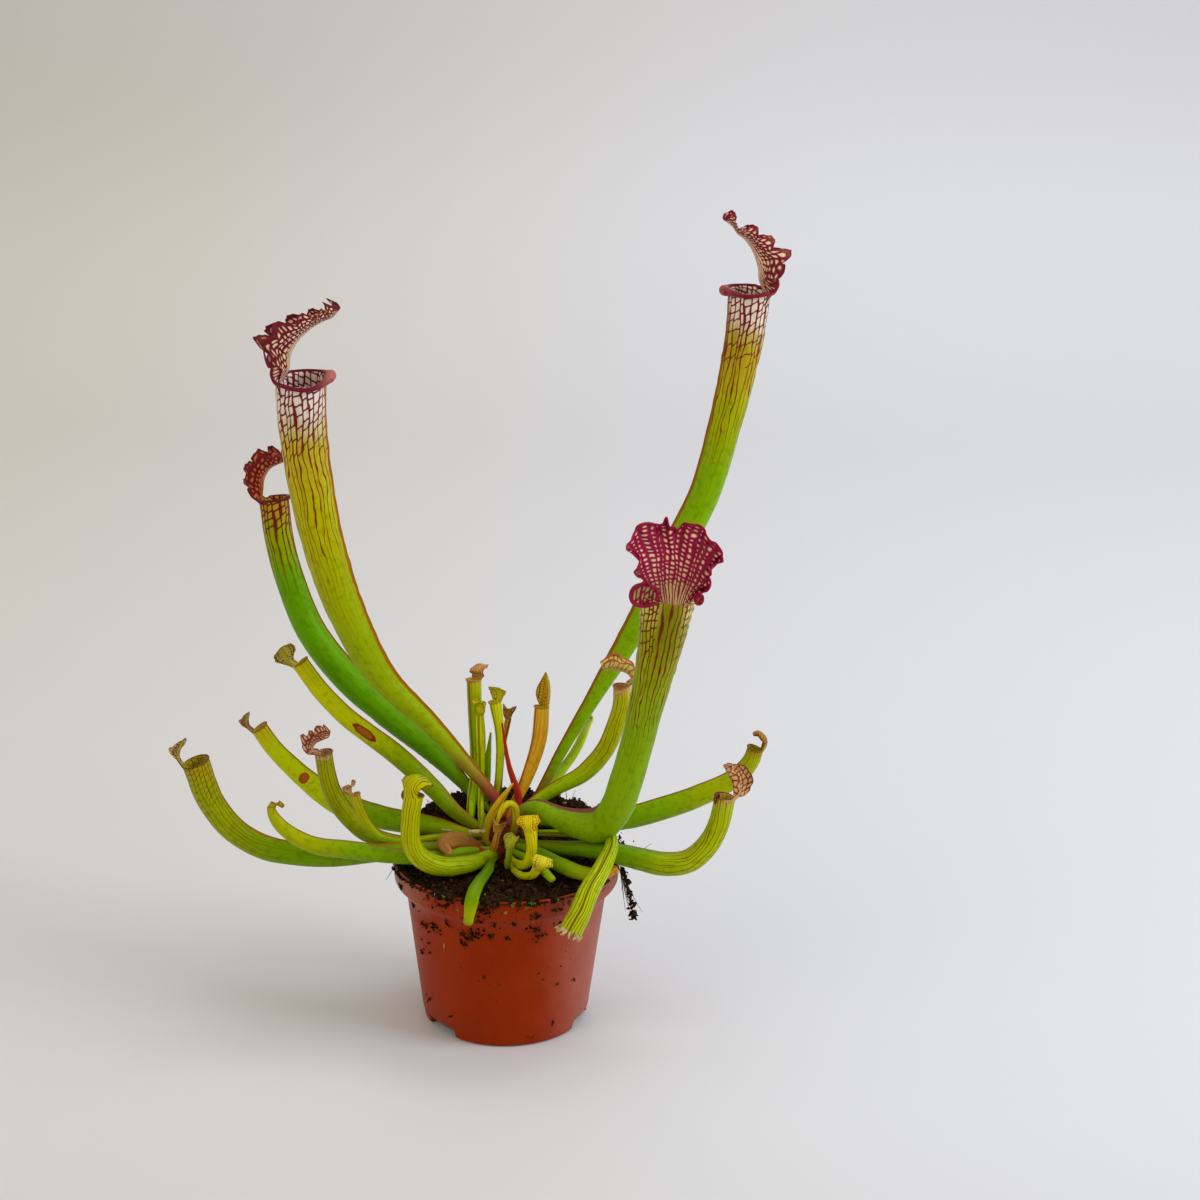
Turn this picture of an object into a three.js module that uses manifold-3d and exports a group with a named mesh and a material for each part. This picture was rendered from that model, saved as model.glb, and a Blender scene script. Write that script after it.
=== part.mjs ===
// A young Sarracenia x farnhamii pitcher plant in its plastic nursery pot.
// Millimetres, +Z up. The origin is the centre of the pot's foot on the surface it stands on.
// +Y points to the back of the pot, +X to the right.
import * as THREE from "three";
import { mergeVertices } from "three/addons/utils/BufferGeometryUtils.js";
import Module from "manifold-3d";

const wasm = await Module();
wasm.setup();

// Clearance between two pieces that touch on the real plant.
const GAP = 0.35;

// The pot: a thin nursery pot, 9 cm across the rim.
const RIM_RADIUS = 45;
const POT_HEIGHT = 67;
const FOOT_RADIUS = 32.6;
const NECK_RADIUS = 39.4;
const POT_WALL = 1;
const COLLAR_HEIGHT = 8;
const COLLAR_SLOPE = 5.5;
const DRAIN_SLOTS = 3;
const DRAIN_TURN = THREE.MathUtils.degToRad(101);
const DRAIN_WIDTH = 17;
const DRAIN_HEIGHT = 4.2;
const DRAIN_DEPTH = 9;
const POT_SIDES = 32;

// The peat: level with the rim in front, and lifted well above it from the middle to the back.
const PEAT_AT_RIM = 66.4;
const PEAT_LIFT = 13;
const LIFT_FROM = -8;
const LIFT_TO = 30;
const PEAT_ROUGHNESS = 0.8;
const PEAT_SHOULDER = 3;
const SHOULDER_FROM = 35;
const SHOULDER_TO = 43;
const PEAT_RINGS = [1, 0.9, 0.75, 0.6, 0.45, 0.3, 0.15, 0];

// The rhizome: the short thick stem that every leaf grows from, half sunk in the peat.
const RHIZOME = { x: -1, y: 6, z: 65, halfX: 10.5, halfY: 15.5, halfZ: 13 };
const RHIZOME_SIDES = 14;
const RHIZOME_ROWS = 10;

// Leaf walls. A narrow tube's wall is a share of its radius instead.
const TUBE_WALL = 1.4;
const NARROW_WALL_SHARE = 0.45;
const HOOD_THICKNESS = 0.7;

// How finely a tube is divided, by how wide it is at most.
const WIDE_TUBE = { over: 10.5, sides: 12, step: 15 };
const MIDDLE_TUBE = { over: 5.6, sides: 8, step: 11 };
const NARROW_TUBE = { sides: 6, step: 6.5 };
const FEWEST_STEPS = 5;

// The colours of the main parts.
const POT_RED = 0x8c3018;
const PEAT_BROWN = 0x2b1b12;
const LEAF_GREEN = 0x6f9a1c;
const YELLOW_GREEN = 0x9aa82a;
const VEINED_GREEN = 0x8a8a2c;
const WITHERED = 0x9a6a48;
const STEM_RED = 0x8e1f2e;
const AMBER = 0xa9722e;

// The rolled lip's outline, as shares of its size out from the tube and up.
const ROLLED_LIP = [[0.9, -0.3], [1.4, 0.3], [0.9, 0.95], [0.1, 0.8]];
const PLAIN_LIP = [[1, 0.2], [0.3, 0.9]];

// Where the lip begins and is full, as shares of the mouth's radius from its middle to the inner side.
const LIP_BEGINS = -0.9;
const LIP_FULL = -0.3;

// Where the hood leaves the round back wall and has its own folded form, as shares of its length.
const HOOD_LEAVES = 0.02;
const HOOD_FOLDED = 0.2;

// How far the waves of a hood's two margins are out of step, and how much further out its knobs
// stand, as a share of its reach.
const MARGIN_SHIFT = 1.9;
const KNOB_SWELL = 0.16;

// How far round the back wall the hood's root reaches, as a share of the wall's radius.
const ROOT_REACH = 0.9;

// A hood's middle line, as steps forward from the back rim of the mouth and up from it, in mm, with
// its half width and how far its margins bend forward over the mouth (minus: folded back), both at
// even steps of that line. The great hoods fold back on both sides and have a waved margin.
const GREAT_HOOD = {
  line: [[0, -2], [1.8, 1], [3.6, 4.5], [4.8, 10], [8.4, 16], [14, 20.8], [20.4, 22.8], [24.6, 27]],
  half: [7.6, 6.6, 6.4, 9.5, 12, 9.5, 6, 2.6],
  bend: [0, -3.5, -6.5, -10, -10, -6.5, -4, -1.5],
  ruffle: 1.2,
  lobes: 6,
  rows: 24,
  columns: 6,
};
const FAN_HOOD = {
  line: [[0, -2], [0.8, 1], [2, 4.5], [2.6, 10], [3.6, 16], [5.5, 21.5], [8, 26.5]],
  half: [7.4, 8, 12, 12.8, 16.5, 16.5, 11],
  bend: [0, -2, -4, -5, -6, -6, -5],
  ruffle: 1.2,
  lobes: 3.2,
  rows: 18,
  columns: 8,
};
const SMALL_HOOD = {
  line: [[0, -1.4], [0.8, 1], [1.6, 4], [2.6, 8], [5.6, 12], [10.4, 14], [14, 15]],
  half: [4.8, 4.2, 4.2, 6.8, 8.6, 6.4, 2],
  bend: [0, -3, -5, -6.5, -7, -4, 0],
  ruffle: 1.0,
  lobes: 4,
  rows: 16,
  columns: 6,
};
const TWISTED_LID = {
  line: [[0, -1.2], [-0.9, 3.2], [1, 6.6], [5.2, 9], [8.2, 12.2]],
  half: [2.4, 1.3, 2.8, 2.9, 1],
  bend: [0.8, 0.2, -1, -1.2, 0],
  rows: 6,
  columns: 4,
};
const HOOK_LID = {
  line: [[0, -1], [-0.7, 3], [0.9, 6], [4.3, 7.2], [6.3, 5.6]],
  half: [2, 1.8, 2.4, 2.6, 1],
  bend: [1.2, 1.6, 1.8, 1.6, 0.6],
  rows: 6,
  columns: 4,
};
const CUPPED_LID = {
  line: [[0, -1], [-0.8, 2.6], [0.6, 5.6], [4.4, 7], [7.6, 6.2]],
  half: [2.8, 3.4, 4.2, 4.2, 2.6],
  bend: [1.2, 2, 2.8, 2.4, 1],
  rows: 6,
  columns: 4,
};
const CURLED_HOOD = {
  line: [[0, -1], [-0.8, 3], [0.8, 6.2], [4.6, 7.4], [8.4, 6], [10.6, 3.6]],
  half: [3.2, 4.2, 5.6, 5.8, 4.8, 2.6],
  bend: [1.4, 2, 2.8, 3, 2.4, 1],
  rows: 8,
  columns: 4,
};
const SADDLE_HOOD = {
  line: [[0, -1], [-0.6, 3], [0.8, 6.6], [3.8, 9.6], [7.4, 12]],
  half: [3.6, 4.4, 6.2, 5.4, 1.6],
  bend: [1, -2, -5, -4, -0.5],
  rows: 8,
  columns: 4,
};
const FLAP_LID = {
  line: [[0, -1], [-0.3, 2.4], [1.3, 4.4], [3.9, 4.8]],
  half: [1.5, 1.5, 2.2, 1.4],
  bend: [0.5, 0.3, -0.2, -0.2],
  rows: 4,
  columns: 2,
};
const POINTED_LID = {
  line: [[0, -1.2], [-0.6, 5], [-0.2, 9.5], [1.6, 14]],
  half: [2.3, 2.7, 2.4, 0.5],
  bend: [1.3, 1.8, 1.6, 0.2],
  rows: 6,
  columns: 4,
};
const FLARED_LID = {
  line: [[0, -1], [-1, 2.2], [-0.4, 5], [2, 7.4]],
  half: [1.8, 2.6, 5, 4],
  bend: [0.5, 0.2, -0.6, -0.6],
  rows: 4,
  columns: 2,
};

// The leaves. Each line of points runs up the middle of a tube, from the rhizome to the mouth.
// width is the tube across, at even steps of its length; wing is the height of the seam that stands
// along the side facing the crown; deep is how far down the tube is open; step is how long the
// tube's faces are where its kind's length would be too coarse.
const LEAVES = [
  {
    name: "pitcher_tall_right",
    spine: [[4, 13, 76], [8, 17, 79], [22, 27, 103], [35, 32, 125], [51, 37, 153], [66, 41, 184],
      [76, 43, 206], [82, 44, 230], [86, 45, 249], [89, 45, 269], [90, 45, 284]],
    width: [3.6, 4, 5, 7.5, 10, 11.4, 11.8, 12.4, 14.2, 16.2],
    wing: [0, 0.6, 1, 1.4, 1.4, 1.2, 1, 1, 0.8, 0.4],
    faces: [-10, 20, 300],
    lip: 2.4,
    deep: 120,
    hood: GREAT_HOOD,
    great: true,
    color: YELLOW_GREEN,
  },
  {
    name: "pitcher_tall_left",
    spine: [[-1, 10, 78], [-4, 13, 83], [-9, 13, 90], [-31, 14, 115], [-51, 14, 136], [-64, 12, 163],
      [-72, 10, 191], [-76, 8, 215], [-78, 6, 238], [-78, 5, 253]],
    width: [3.8, 4.8, 7, 9.2, 12, 14, 15.4, 16.4, 17.4, 18.4],
    wing: [0, 0.8, 1.2, 1.4, 1.4, 1.2, 1, 0.8, 0.6, 0.4],
    faces: [20, 0, 275],
    lip: 2.6,
    deep: 110,
    hood: GREAT_HOOD,
    great: true,
    color: YELLOW_GREEN,
  },
  {
    name: "pitcher_back_left",
    spine: [[-4, 17, 72], [-8.5, 20, 77], [-19, 25, 87], [-32, 28, 99], [-51, 32, 114], [-67, 35, 128],
      [-81, 38, 146], [-89, 40, 166], [-93, 41, 182], [-95, 42, 199]],
    width: [3.2, 4.6, 7.4, 9.8, 11.2, 11.6, 11.4, 11.2, 11.2, 11.6],
    wing: [0, 0.6, 1, 1.2, 1.2, 1, 0.8, 0.6, 0.4, 0.3],
    faces: [0, 34, 220],
    lip: 1.5,
    deep: 70,
    hood: SMALL_HOOD,
    great: true,
    color: LEAF_GREEN,
  },
  {
    name: "pitcher_front_right",
    spine: [[1, 5, 78], [6, 4, 84], [12, 0.5, 86.5], [19.5, -4.5, 84.5], [28, -9.5, 83.5], [36, -14, 85],
      [42, -18, 94], [46, -22, 108], [50, -26, 126], [53, -30, 143], [57, -35, 166], [59.5, -38.5, 187]],
    width: [4.4, 5.4, 8, 11, 12.6, 12.8, 12.4, 12.6, 13.6, 15.4, 17.8, 20],
    wing: [0.3, 1, 2, 3, 3, 1.6, 1, 0.8, 0.6, 0.4, 0.3],
    faces: [48, 30, 190],
    lip: 2.4,
    deep: 75,
    hood: FAN_HOOD,
    great: true,
    color: LEAF_GREEN,
  },
  {
    name: "pitcher_far_left",
    spine: [[-6, 0, 72], [-14, -5, 72], [-29, -11, 73], [-45, -14, 73], [-64, -14, 71], [-79, -14, 71.5],
      [-93, -14, 74], [-105, -15, 82], [-113, -16, 94], [-118, -17, 110]],
    width: [4, 5.4, 6.2, 7, 8.6, 9.2, 9.4, 9.8, 10.4],
    wing: [0, 0.3, 0.6, 0.6, 0.6, 0.6, 0.6, 0.4, 0.2],
    faces: [-60, -12, 150],
    lip: 0.6,
    deep: 45,
    hood: TWISTED_LID,
    color: LEAF_GREEN,
  },
  {
    name: "pitcher_spotted_upper",
    spine: [[-6, 8, 73], [-12, 8, 75], [-21, 9, 81], [-31, 11, 91], [-45, 14, 103], [-57, 17, 111],
      [-65, 18, 117], [-75, 20, 127], [-83, 21, 138]],
    width: [3.4, 5, 6.6, 7.6, 7.8, 7.6, 7.4, 7, 6.8],
    wing: [0, 0.4, 0.6, 0.6, 0.6, 0.5, 0.5, 0.4, 0.2],
    faces: [-20, 12, 190],
    lip: 0.6,
    deep: 35,
    hood: CUPPED_LID,
    color: YELLOW_GREEN,
  },
  {
    name: "pitcher_spotted_lower",
    spine: [[-7, 5, 70], [-15, 5, 72.5], [-27, 9, 74], [-47, 14, 75], [-64, 18, 78], [-74, 20, 83],
      [-85, 21, 92], [-94, 22, 101], [-100, 22, 110]],
    width: [3.8, 6, 8, 9, 10, 9.6, 8.2, 7.2, 6.8],
    wing: [0, 0.4, 0.6, 0.6, 0.6, 0.6, 0.5, 0.4, 0.2],
    faces: [-45, 15, 160],
    lip: 0.6,
    deep: 35,
    hood: HOOK_LID,
    color: YELLOW_GREEN,
  },
  {
    name: "pitcher_left_middle",
    spine: [[-9, 1, 73], [-18, -1, 74], [-28, -3.5, 73], [-39, -5, 73], [-53, -5, 76], [-63, -4, 85],
      [-68, -4, 94], [-70, -4, 102], [-71, -4, 110]],
    width: [3, 4, 4.8, 5.4, 6.4, 7.2, 7.2, 6.8, 6.8],
    wing: [0, 0.2, 0.4, 0.5, 0.6, 0.5, 0.4, 0.4, 0.2],
    faces: [-25, -4, 140],
    lip: 0.7,
    deep: 25,
    hood: CUPPED_LID,
    color: LEAF_GREEN,
  },
  {
    name: "pitcher_left_small",
    spine: [[-9, -1, 75], [-18, -5, 77], [-30, -9, 77], [-39, -11, 76.5], [-48, -12, 78], [-53, -12, 83],
      [-56, -12, 89], [-58, -12, 96]],
    width: [2, 2.4, 2.6, 2.8, 3.2, 3.6, 3.6, 3.6],
    wing: [0, 0.2, 0.3, 0.3, 0.3, 0.3, 0.2, 0.1],
    faces: [-25, -10, 120],
    lip: 0.4,
    deep: 12,
    hood: FLAP_LID,
    color: YELLOW_GREEN,
  },
  {
    name: "pitcher_hooked_left",
    spine: [[-6, -7, 72], [-17, -15, 74], [-29, -21, 74], [-40, -23.5, 75.5], [-59, -24, 78],
      [-72, -24, 79.5], [-81, -24, 84], [-86.5, -24, 89.5], [-88.4, -24, 94.5], [-86.5, -24, 97],
      [-84, -24, 95.6]],
    width: [2.6, 3.8, 4.6, 5.6, 6.6, 6.8, 6.2, 4.8, 1.8],
    wing: [0, 0.3, 0.4, 0.4, 0.4, 0.4, 0.3, 0.2, 0],
    faces: [-50, -22, 120],
    step: 4,
    color: YELLOW_GREEN,
  },
  {
    name: "pitcher_curled_left",
    spine: [[-1, -7, 72], [-6, -13, 72], [-13, -20, 71.5], [-24, -26.5, 73], [-32, -28, 77.5],
      [-35, -28, 84], [-35, -27, 95], [-34, -26, 102]],
    width: [3.4, 5, 6.4, 7.2, 7.6, 7.4, 7.2, 7.4],
    wing: [0, 0.4, 0.6, 0.6, 0.5, 0.4, 0.3, 0.2],
    faces: [-6, 12, 125],
    lip: 0.7,
    deep: 25,
    hood: CURLED_HOOD,
    color: YELLOW_GREEN,
  },
  {
    name: "pitcher_back_tall",
    spine: [[-10, 9, 71], [-15, 10, 75], [-15, 12.5, 80], [-14.5, 15.5, 86], [-14, 20.5, 91.5],
      [-14, 27, 101], [-14.5, 30, 113], [-15, 31, 129]],
    width: [2.6, 3.6, 4, 4.2, 4.8, 5.4, 5.8, 6],
    wing: [0, 0.1, 0.2, 0.3, 0.4, 0.3, 0.2],
    faces: [-40, 0, 150],
    lip: 0.6,
    deep: 25,
    hood: HOOK_LID,
    color: LEAF_GREEN,
  },
  {
    name: "pitcher_back_short",
    spine: [[-8, 7, 72], [-10.5, 9, 76], [-11, 11.5, 81], [-11, 14, 86], [-11.3, 18.5, 90.5],
      [-11.7, 23.5, 102], [-12.2, 24.5, 117]],
    width: [1.8, 2.4, 2.6, 2.6, 3.2, 3.8, 3.8, 3.2],
    wing: [0, 0.1, 0.2, 0.2, 0.2, 0.1],
    faces: [-20, 0, 150],
    lip: 0.3,
    deep: 8,
    hood: FLAP_LID,
    color: YELLOW_GREEN,
  },
  {
    name: "pitcher_flared",
    spine: [[-4, 12, 75], [-6.5, 15, 77.5], [-4.5, 18, 91], [-4, 21, 109], [-6, 22, 123]],
    width: [1.8, 2.4, 2.8, 3.2, 4, 5],
    wing: [0, 0.2, 0.3, 0.3, 0.2, 0.1],
    faces: [-30, 0, 140],
    lip: 0.8,
    deep: 14,
    hood: FLAP_LID,
    color: YELLOW_GREEN,
  },
  {
    name: "leaf_back_blade",
    spine: [[-6, 17, 72], [-9, 20.5, 75.5], [-9.5, 23, 86], [-9, 25.5, 97], [-8, 26.5, 108]],
    width: [2, 2.8, 3.4, 3.2, 2.2, 0.8],
    flat: 0.55,
    faces: [0, -40, 120],
    color: LEAF_GREEN,
  },
  {
    name: "pitcher_withered_back",
    spine: [[-2, 16, 74], [-4, 19.5, 77.5], [-4, 24, 89], [-3, 27, 103], [-1, 28, 114]],
    width: [1.6, 2, 2.2, 2.4, 2.6],
    faces: [20, 0, 130],
    lip: 0.4,
    deep: 6,
    hood: FLAP_LID,
    color: WITHERED,
  },
  {
    name: "leaf_red_spike",
    spine: [[2.5, 8, 79], [4, 11, 86], [0, 14, 99], [-3, 16, 116]],
    width: [2.6, 3, 2.2, 1.4, 0.8],
    flat: 0.6,
    faces: [0, -40, 100],
    color: STEM_RED,
  },
  {
    name: "pitcher_unopened",
    spine: [[0, 9, 78], [2, 12, 83], [4.5, 15.5, 87], [8, 19, 95], [11.5, 22, 107], [12.5, 24, 120.5]],
    width: [3, 4, 5, 5.8, 6.2, 6],
    wing: [0, 0.2, 0.4, 0.5, 0.4, 0.2],
    faces: [-20, 0, 140],
    lip: 0.5,
    deep: 12,
    hood: POINTED_LID,
    color: AMBER,
  },
  {
    name: "pitcher_behind_right",
    spine: [[2, 8, 77], [6, 9.5, 82], [12, 12, 86], [20, 12.5, 91], [30, 13, 97], [38, 13, 107],
      [42, 12, 118], [44, 12, 126], [44, 12, 134]],
    width: [2.8, 4, 5, 6, 6.8, 7, 7, 6.8, 6.6],
    wing: [0, 0.3, 0.5, 0.5, 0.5, 0.4, 0.3, 0.2, 0.1],
    faces: [5, 8, 150],
    lip: 0.6,
    deep: 28,
    hood: CURLED_HOOD,
    color: VEINED_GREEN,
  },
  {
    name: "leaf_pale_blunt",
    spine: [[6, 17, 76], [10, 21, 78.5], [14, 25, 83], [20, 31, 90], [26, 35, 98], [32, 38, 111]],
    width: [2.6, 3.6, 4.4, 4.6, 4.4, 3.2],
    flat: 0.6,
    faces: [0, 10, 130],
    color: LEAF_GREEN,
  },
  {
    name: "pitcher_far_right",
    spine: [[4, 9, 75], [11, 12, 76], [24, 14, 75.5], [44, 17, 75.5], [60, 19, 79.5], [76, 21, 85],
      [90, 23, 92], [96, 23, 99], [98, 23, 105]],
    width: [3, 5, 6.8, 8.2, 9, 9, 8.4, 7.6, 6.4],
    wing: [0, 0.3, 0.5, 0.6, 0.6, 0.5, 0.4, 0.3, 0.1],
    faces: [40, 20, 150],
    lip: 0.5,
    deep: 35,
    hood: HOOK_LID,
    color: LEAF_GREEN,
  },
  {
    name: "pitcher_curled_right",
    spine: [[3, -1, 73], [9, -4, 73], [21, -9, 74], [37, -13, 75], [52, -15, 72.5], [62, -16, 71],
      [71, -17, 73], [78, -17, 80], [82, -17, 89], [84, -17, 100]],
    width: [3.4, 4.6, 5.6, 6.6, 7.8, 8.6, 8.6, 8.4, 8.2, 8],
    wing: [0, 0.3, 0.4, 0.5, 0.6, 0.6, 0.5, 0.4, 0.3, 0.1],
    faces: [40, 22, 125],
    lip: 0.8,
    deep: 35,
    hood: SADDLE_HOOD,
    color: VEINED_GREEN,
  },
  {
    name: "pitcher_drooping",
    spine: [[6, 1, 76], [14, 1, 76], [26, -1, 77], [35, -5, 78.5], [40, -13, 81.5], [41, -22, 81],
      [37.5, -34, 77], [32.5, -43, 71], [29.5, -46.5, 64], [26, -48.5, 57]],
    width: [2.4, 2.8, 3.2, 3.8, 4.4, 5.4, 6.6, 7.6, 8.2, 8.8],
    wing: [0, 0.1, 0.2, 0.3, 0.4, 0.5, 0.5, 0.4, 0.3, 0.2],
    faces: [40, -70, 110],
    lip: 0.4,
    deep: 22,
    color: VEINED_GREEN,
  },
  {
    name: "leaf_lying_right",
    spine: [[4, -5, 73], [11, -10, 73], [21, -20, 72], [29, -26, 71.5], [37, -28, 71.5], [42, -25, 72.5]],
    width: [3, 5, 6.4, 6.6, 6, 4.4],
    flat: 0.85,
    faces: [20, -30, 200],
    color: LEAF_GREEN,
  },
  {
    name: "pitcher_front_yellow",
    spine: [[2, -9, 70], [5, -16, 70], [8.5, -22, 73], [10.5, -24, 79], [10.5, -24.5, 84], [10, -24, 88]],
    width: [2.4, 3.2, 3.6, 3.8, 4.2, 5],
    wing: [0, 0.1, 0.2, 0.2, 0.2, 0.1],
    faces: [12, 20, 110],
    lip: 0.6,
    deep: 12,
    hood: FLARED_LID,
    color: YELLOW_GREEN,
  },
  {
    name: "leaf_front_small",
    spine: [[2, -7, 72], [6, -13, 72.5], [12.5, -20, 72], [16, -26, 71], [18.5, -30, 70.3]],
    width: [2.4, 3.2, 3.8, 4, 3.2],
    flat: 0.8,
    faces: [10, -20, 200],
    color: LEAF_GREEN,
  },
  {
    name: "pitcher_front_short",
    spine: [[1, -10, 68.5], [4, -19, 68.5], [8, -26, 69.5], [11.5, -28.5, 71.5], [13, -29, 74.5]],
    width: [2, 2.6, 2.8, 3, 3.8],
    faces: [12, 20, 100],
    lip: 0.5,
    deep: 6,
    hood: FLAP_LID,
    color: AMBER,
  },
  {
    name: "leaf_over_rim",
    spine: [[-3, -8, 70], [-5, -14, 71], [-6, -24, 71], [-9, -37, 71], [-10.5, -44, 69.5],
      [-11.3, -47.5, 65.5], [-12, -48.6, 60.5]],
    width: [2.6, 3.4, 4, 4.6, 5, 5.2, 3.6],
    flat: 0.45,
    faces: [-10, -80, 140],
    color: LEAF_GREEN,
  },
  {
    name: "young_pitcher_curved",
    spine: [[-6, -4, 72], [-8, -5, 75], [-7, -3, 82], [-3, 0, 89], [2, 2, 96]],
    width: [2.2, 3, 3.4, 2.8, 0.9],
    faces: [20, -10, 78],
    color: YELLOW_GREEN,
  },
  {
    name: "young_pitcher_hooked",
    spine: [[1, -1, 74], [2.5, -3, 78], [3.5, -5, 84], [3, -6, 90], [0.5, -7.5, 91.5], [-2, -8.5, 88.5], [-3.5, -9, 84]],
    width: [2.4, 3, 3.2, 3, 2.4, 1.4],
    faces: [-20, -10, 60],
    color: YELLOW_GREEN,
  },
  {
    name: "young_pitcher_amber",
    spine: [[-3, -8, 70], [-6, -11, 71], [-4.5, -12, 75], [-3, -12.5, 81.5]],
    width: [1.8, 2.4, 2.8, 2.2],
    faces: [10, -40, 90],
    lip: 0.3,
    deep: 5,
    hood: FLAP_LID,
    color: AMBER,
  },
  {
    name: "young_pitcher_pale",
    spine: [[0, -10, 69], [1, -17, 69], [1.5, -20, 73], [2, -21, 79]],
    width: [1.6, 2, 2.4, 2.6],
    faces: [0, 20, 100],
    lip: 0.4,
    deep: 5,
    hood: FLAP_LID,
    color: YELLOW_GREEN,
  },
  {
    name: "leaf_bud",
    spine: [[-8, 2, 73], [-9.5, 1, 77], [-9, 1, 83.5]],
    width: [1.8, 2.6, 2.6, 1],
    faces: [0, -40, 90],
    color: LEAF_GREEN,
  },
  {
    name: "sheath_withered",
    spine: [[-7, -5, 71], [-13, -9.5, 76], [-20, -14, 79], [-23.5, -18.5, 78.5], [-21, -22.5, 77.2]],
    width: [1.2, 2.4, 4.6, 5, 2.2],
    flat: 0.4,
    faces: [-20, -60, 120],
    color: WITHERED,
  },
  {
    name: "stalk_red",
    spine: [[-4, -9, 71], [-9, -11, 73], [-17, -7.5, 76.5]],
    width: [2.2, 2.2, 1.4],
    faces: [0, 0, 120],
    color: STEM_RED,
  },
];

// Vector helpers.
const vec = ([x, y, z]) => new THREE.Vector3(x, y, z);

function spineOf(leaf) {
  return new THREE.CatmullRomCurve3(leaf.spine.map(vec), false, "centripetal");
}

// The value of an evenly spaced list at a share t of its length.
function along(list, t) {
  const place = Math.min(Math.max(t, 0), 1) * (list.length - 1);
  const i = Math.min(Math.floor(place), list.length - 2);
  return THREE.MathUtils.lerp(list[i], list[i + 1], place - i);
}

// The tube's axes at a share t: up along it, inner towards what the leaf faces, and side.
function axesAt(leaf, curve, t) {
  const at = curve.getPointAt(t);
  const up = curve.getTangentAt(t);
  const inner = vec(leaf.faces).sub(at);
  inner.addScaledVector(up, -inner.dot(up)).normalize();
  const side = new THREE.Vector3().crossVectors(up, inner);
  return { at, up, inner, side };
}

// One ring round the tube: a flattened circle of this radius with the wing's ridge on its inner side.
function ringAt(axes, radius, height, flat, wing, sides) {
  const ring = [];
  for (let i = 0; i < sides; i++) {
    const angle = (2 * Math.PI * i) / sides;
    const ridge = i === 0 ? wing : 0;
    ring.push(
      axes.at.clone()
        .addScaledVector(axes.up, height)
        .addScaledVector(axes.inner, (radius * flat + ridge) * Math.cos(angle))
        .addScaledVector(axes.side, radius * Math.sin(angle)),
    );
  }
  return ring;
}

// One ring of the rolled lip, which dies away at the back of the mouth, where the hood's neck stands.
function lipRing(mouth, radius, out, height, sides) {
  return ringAt(mouth, radius, 0, 1, 0, sides).map((p) => {
    const away = p.clone().sub(mouth.at);
    const open = THREE.MathUtils.smoothstep(away.dot(mouth.inner) / radius, LIP_BEGINS, LIP_FULL);
    return p.addScaledVector(away.normalize(), out * open).addScaledVector(mouth.up, height * open);
  });
}

// A closed solid from a list of corner positions and triangles of their numbers.
function solidFrom(points, triangles) {
  const build = (corners) =>
    new wasm.Manifold(
      new wasm.Mesh({
        numProp: 3,
        vertProperties: new Float32Array(points.flatMap((p) => [p.x, p.y, p.z])),
        triVerts: new Uint32Array(corners.flat()),
      }),
    );
  const made = build(triangles);
  return made.volume() > 0 ? made : build(triangles.map(([a, b, c]) => [a, c, b]));
}

// A solid through a row of rings, closed at both ends by a point in the middle of the end ring.
function solidOfRings(rings) {
  const sides = rings[0].length;
  const points = rings.flat();
  const triangles = [];
  for (let j = 0; j + 1 < rings.length; j++)
    for (let i = 0; i < sides; i++) {
      const a = j * sides + i;
      const b = j * sides + ((i + 1) % sides);
      triangles.push([a, b, b + sides], [a, b + sides, a + sides]);
    }
  const middle = (ring) =>
    ring.reduce((sum, p) => sum.add(p), new THREE.Vector3()).divideScalar(sides);
  points.push(middle(rings[0]), middle(rings[rings.length - 1]));
  const start = points.length - 2;
  const last = (rings.length - 1) * sides;
  for (let i = 0; i < sides; i++) {
    const next = (i + 1) % sides;
    triangles.push([start, next, i], [start + 1, last + i, last + next]);
  }
  return solidFrom(points, triangles);
}

// A thin sheet: a grid of points thickened both ways along its own normals, with alike triangles
// on both faces.
function solidOfSheet(grid, thickness) {
  const rows = grid.length;
  const columns = grid[0].length;
  const pick = (j, i) =>
    grid[Math.min(Math.max(j, 0), rows - 1)][Math.min(Math.max(i, 0), columns - 1)];
  const points = [];
  for (const face of [0.5, -0.5])
    for (let j = 0; j < rows; j++)
      for (let i = 0; i < columns; i++) {
        const across = pick(j, i + 1).clone().sub(pick(j, i - 1));
        const upward = pick(j + 1, i).clone().sub(pick(j - 1, i));
        const normal = across.cross(upward).normalize();
        points.push(grid[j][i].clone().addScaledVector(normal, face * thickness));
      }
  const under = rows * columns;
  const triangles = [];
  for (let j = 0; j + 1 < rows; j++)
    for (let i = 0; i + 1 < columns; i++) {
      const a = j * columns + i;
      const b = a + 1;
      const c = a + columns + 1;
      const d = a + columns;
      triangles.push([a, b, c], [a, c, d]);
      triangles.push([under + a, under + c, under + b], [under + a, under + d, under + c]);
    }
  const edge = (a, b) => triangles.push([a, under + a, under + b], [a, under + b, b]);
  for (let i = 0; i + 1 < columns; i++) {
    edge(i, i + 1);
    edge((rows - 1) * columns + i + 1, (rows - 1) * columns + i);
  }
  for (let j = 0; j + 1 < rows; j++) {
    edge((j + 1) * columns, j * columns);
    edge(j * columns + columns - 1, (j + 1) * columns + columns - 1);
  }
  return solidFrom(points, triangles);
}

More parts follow.
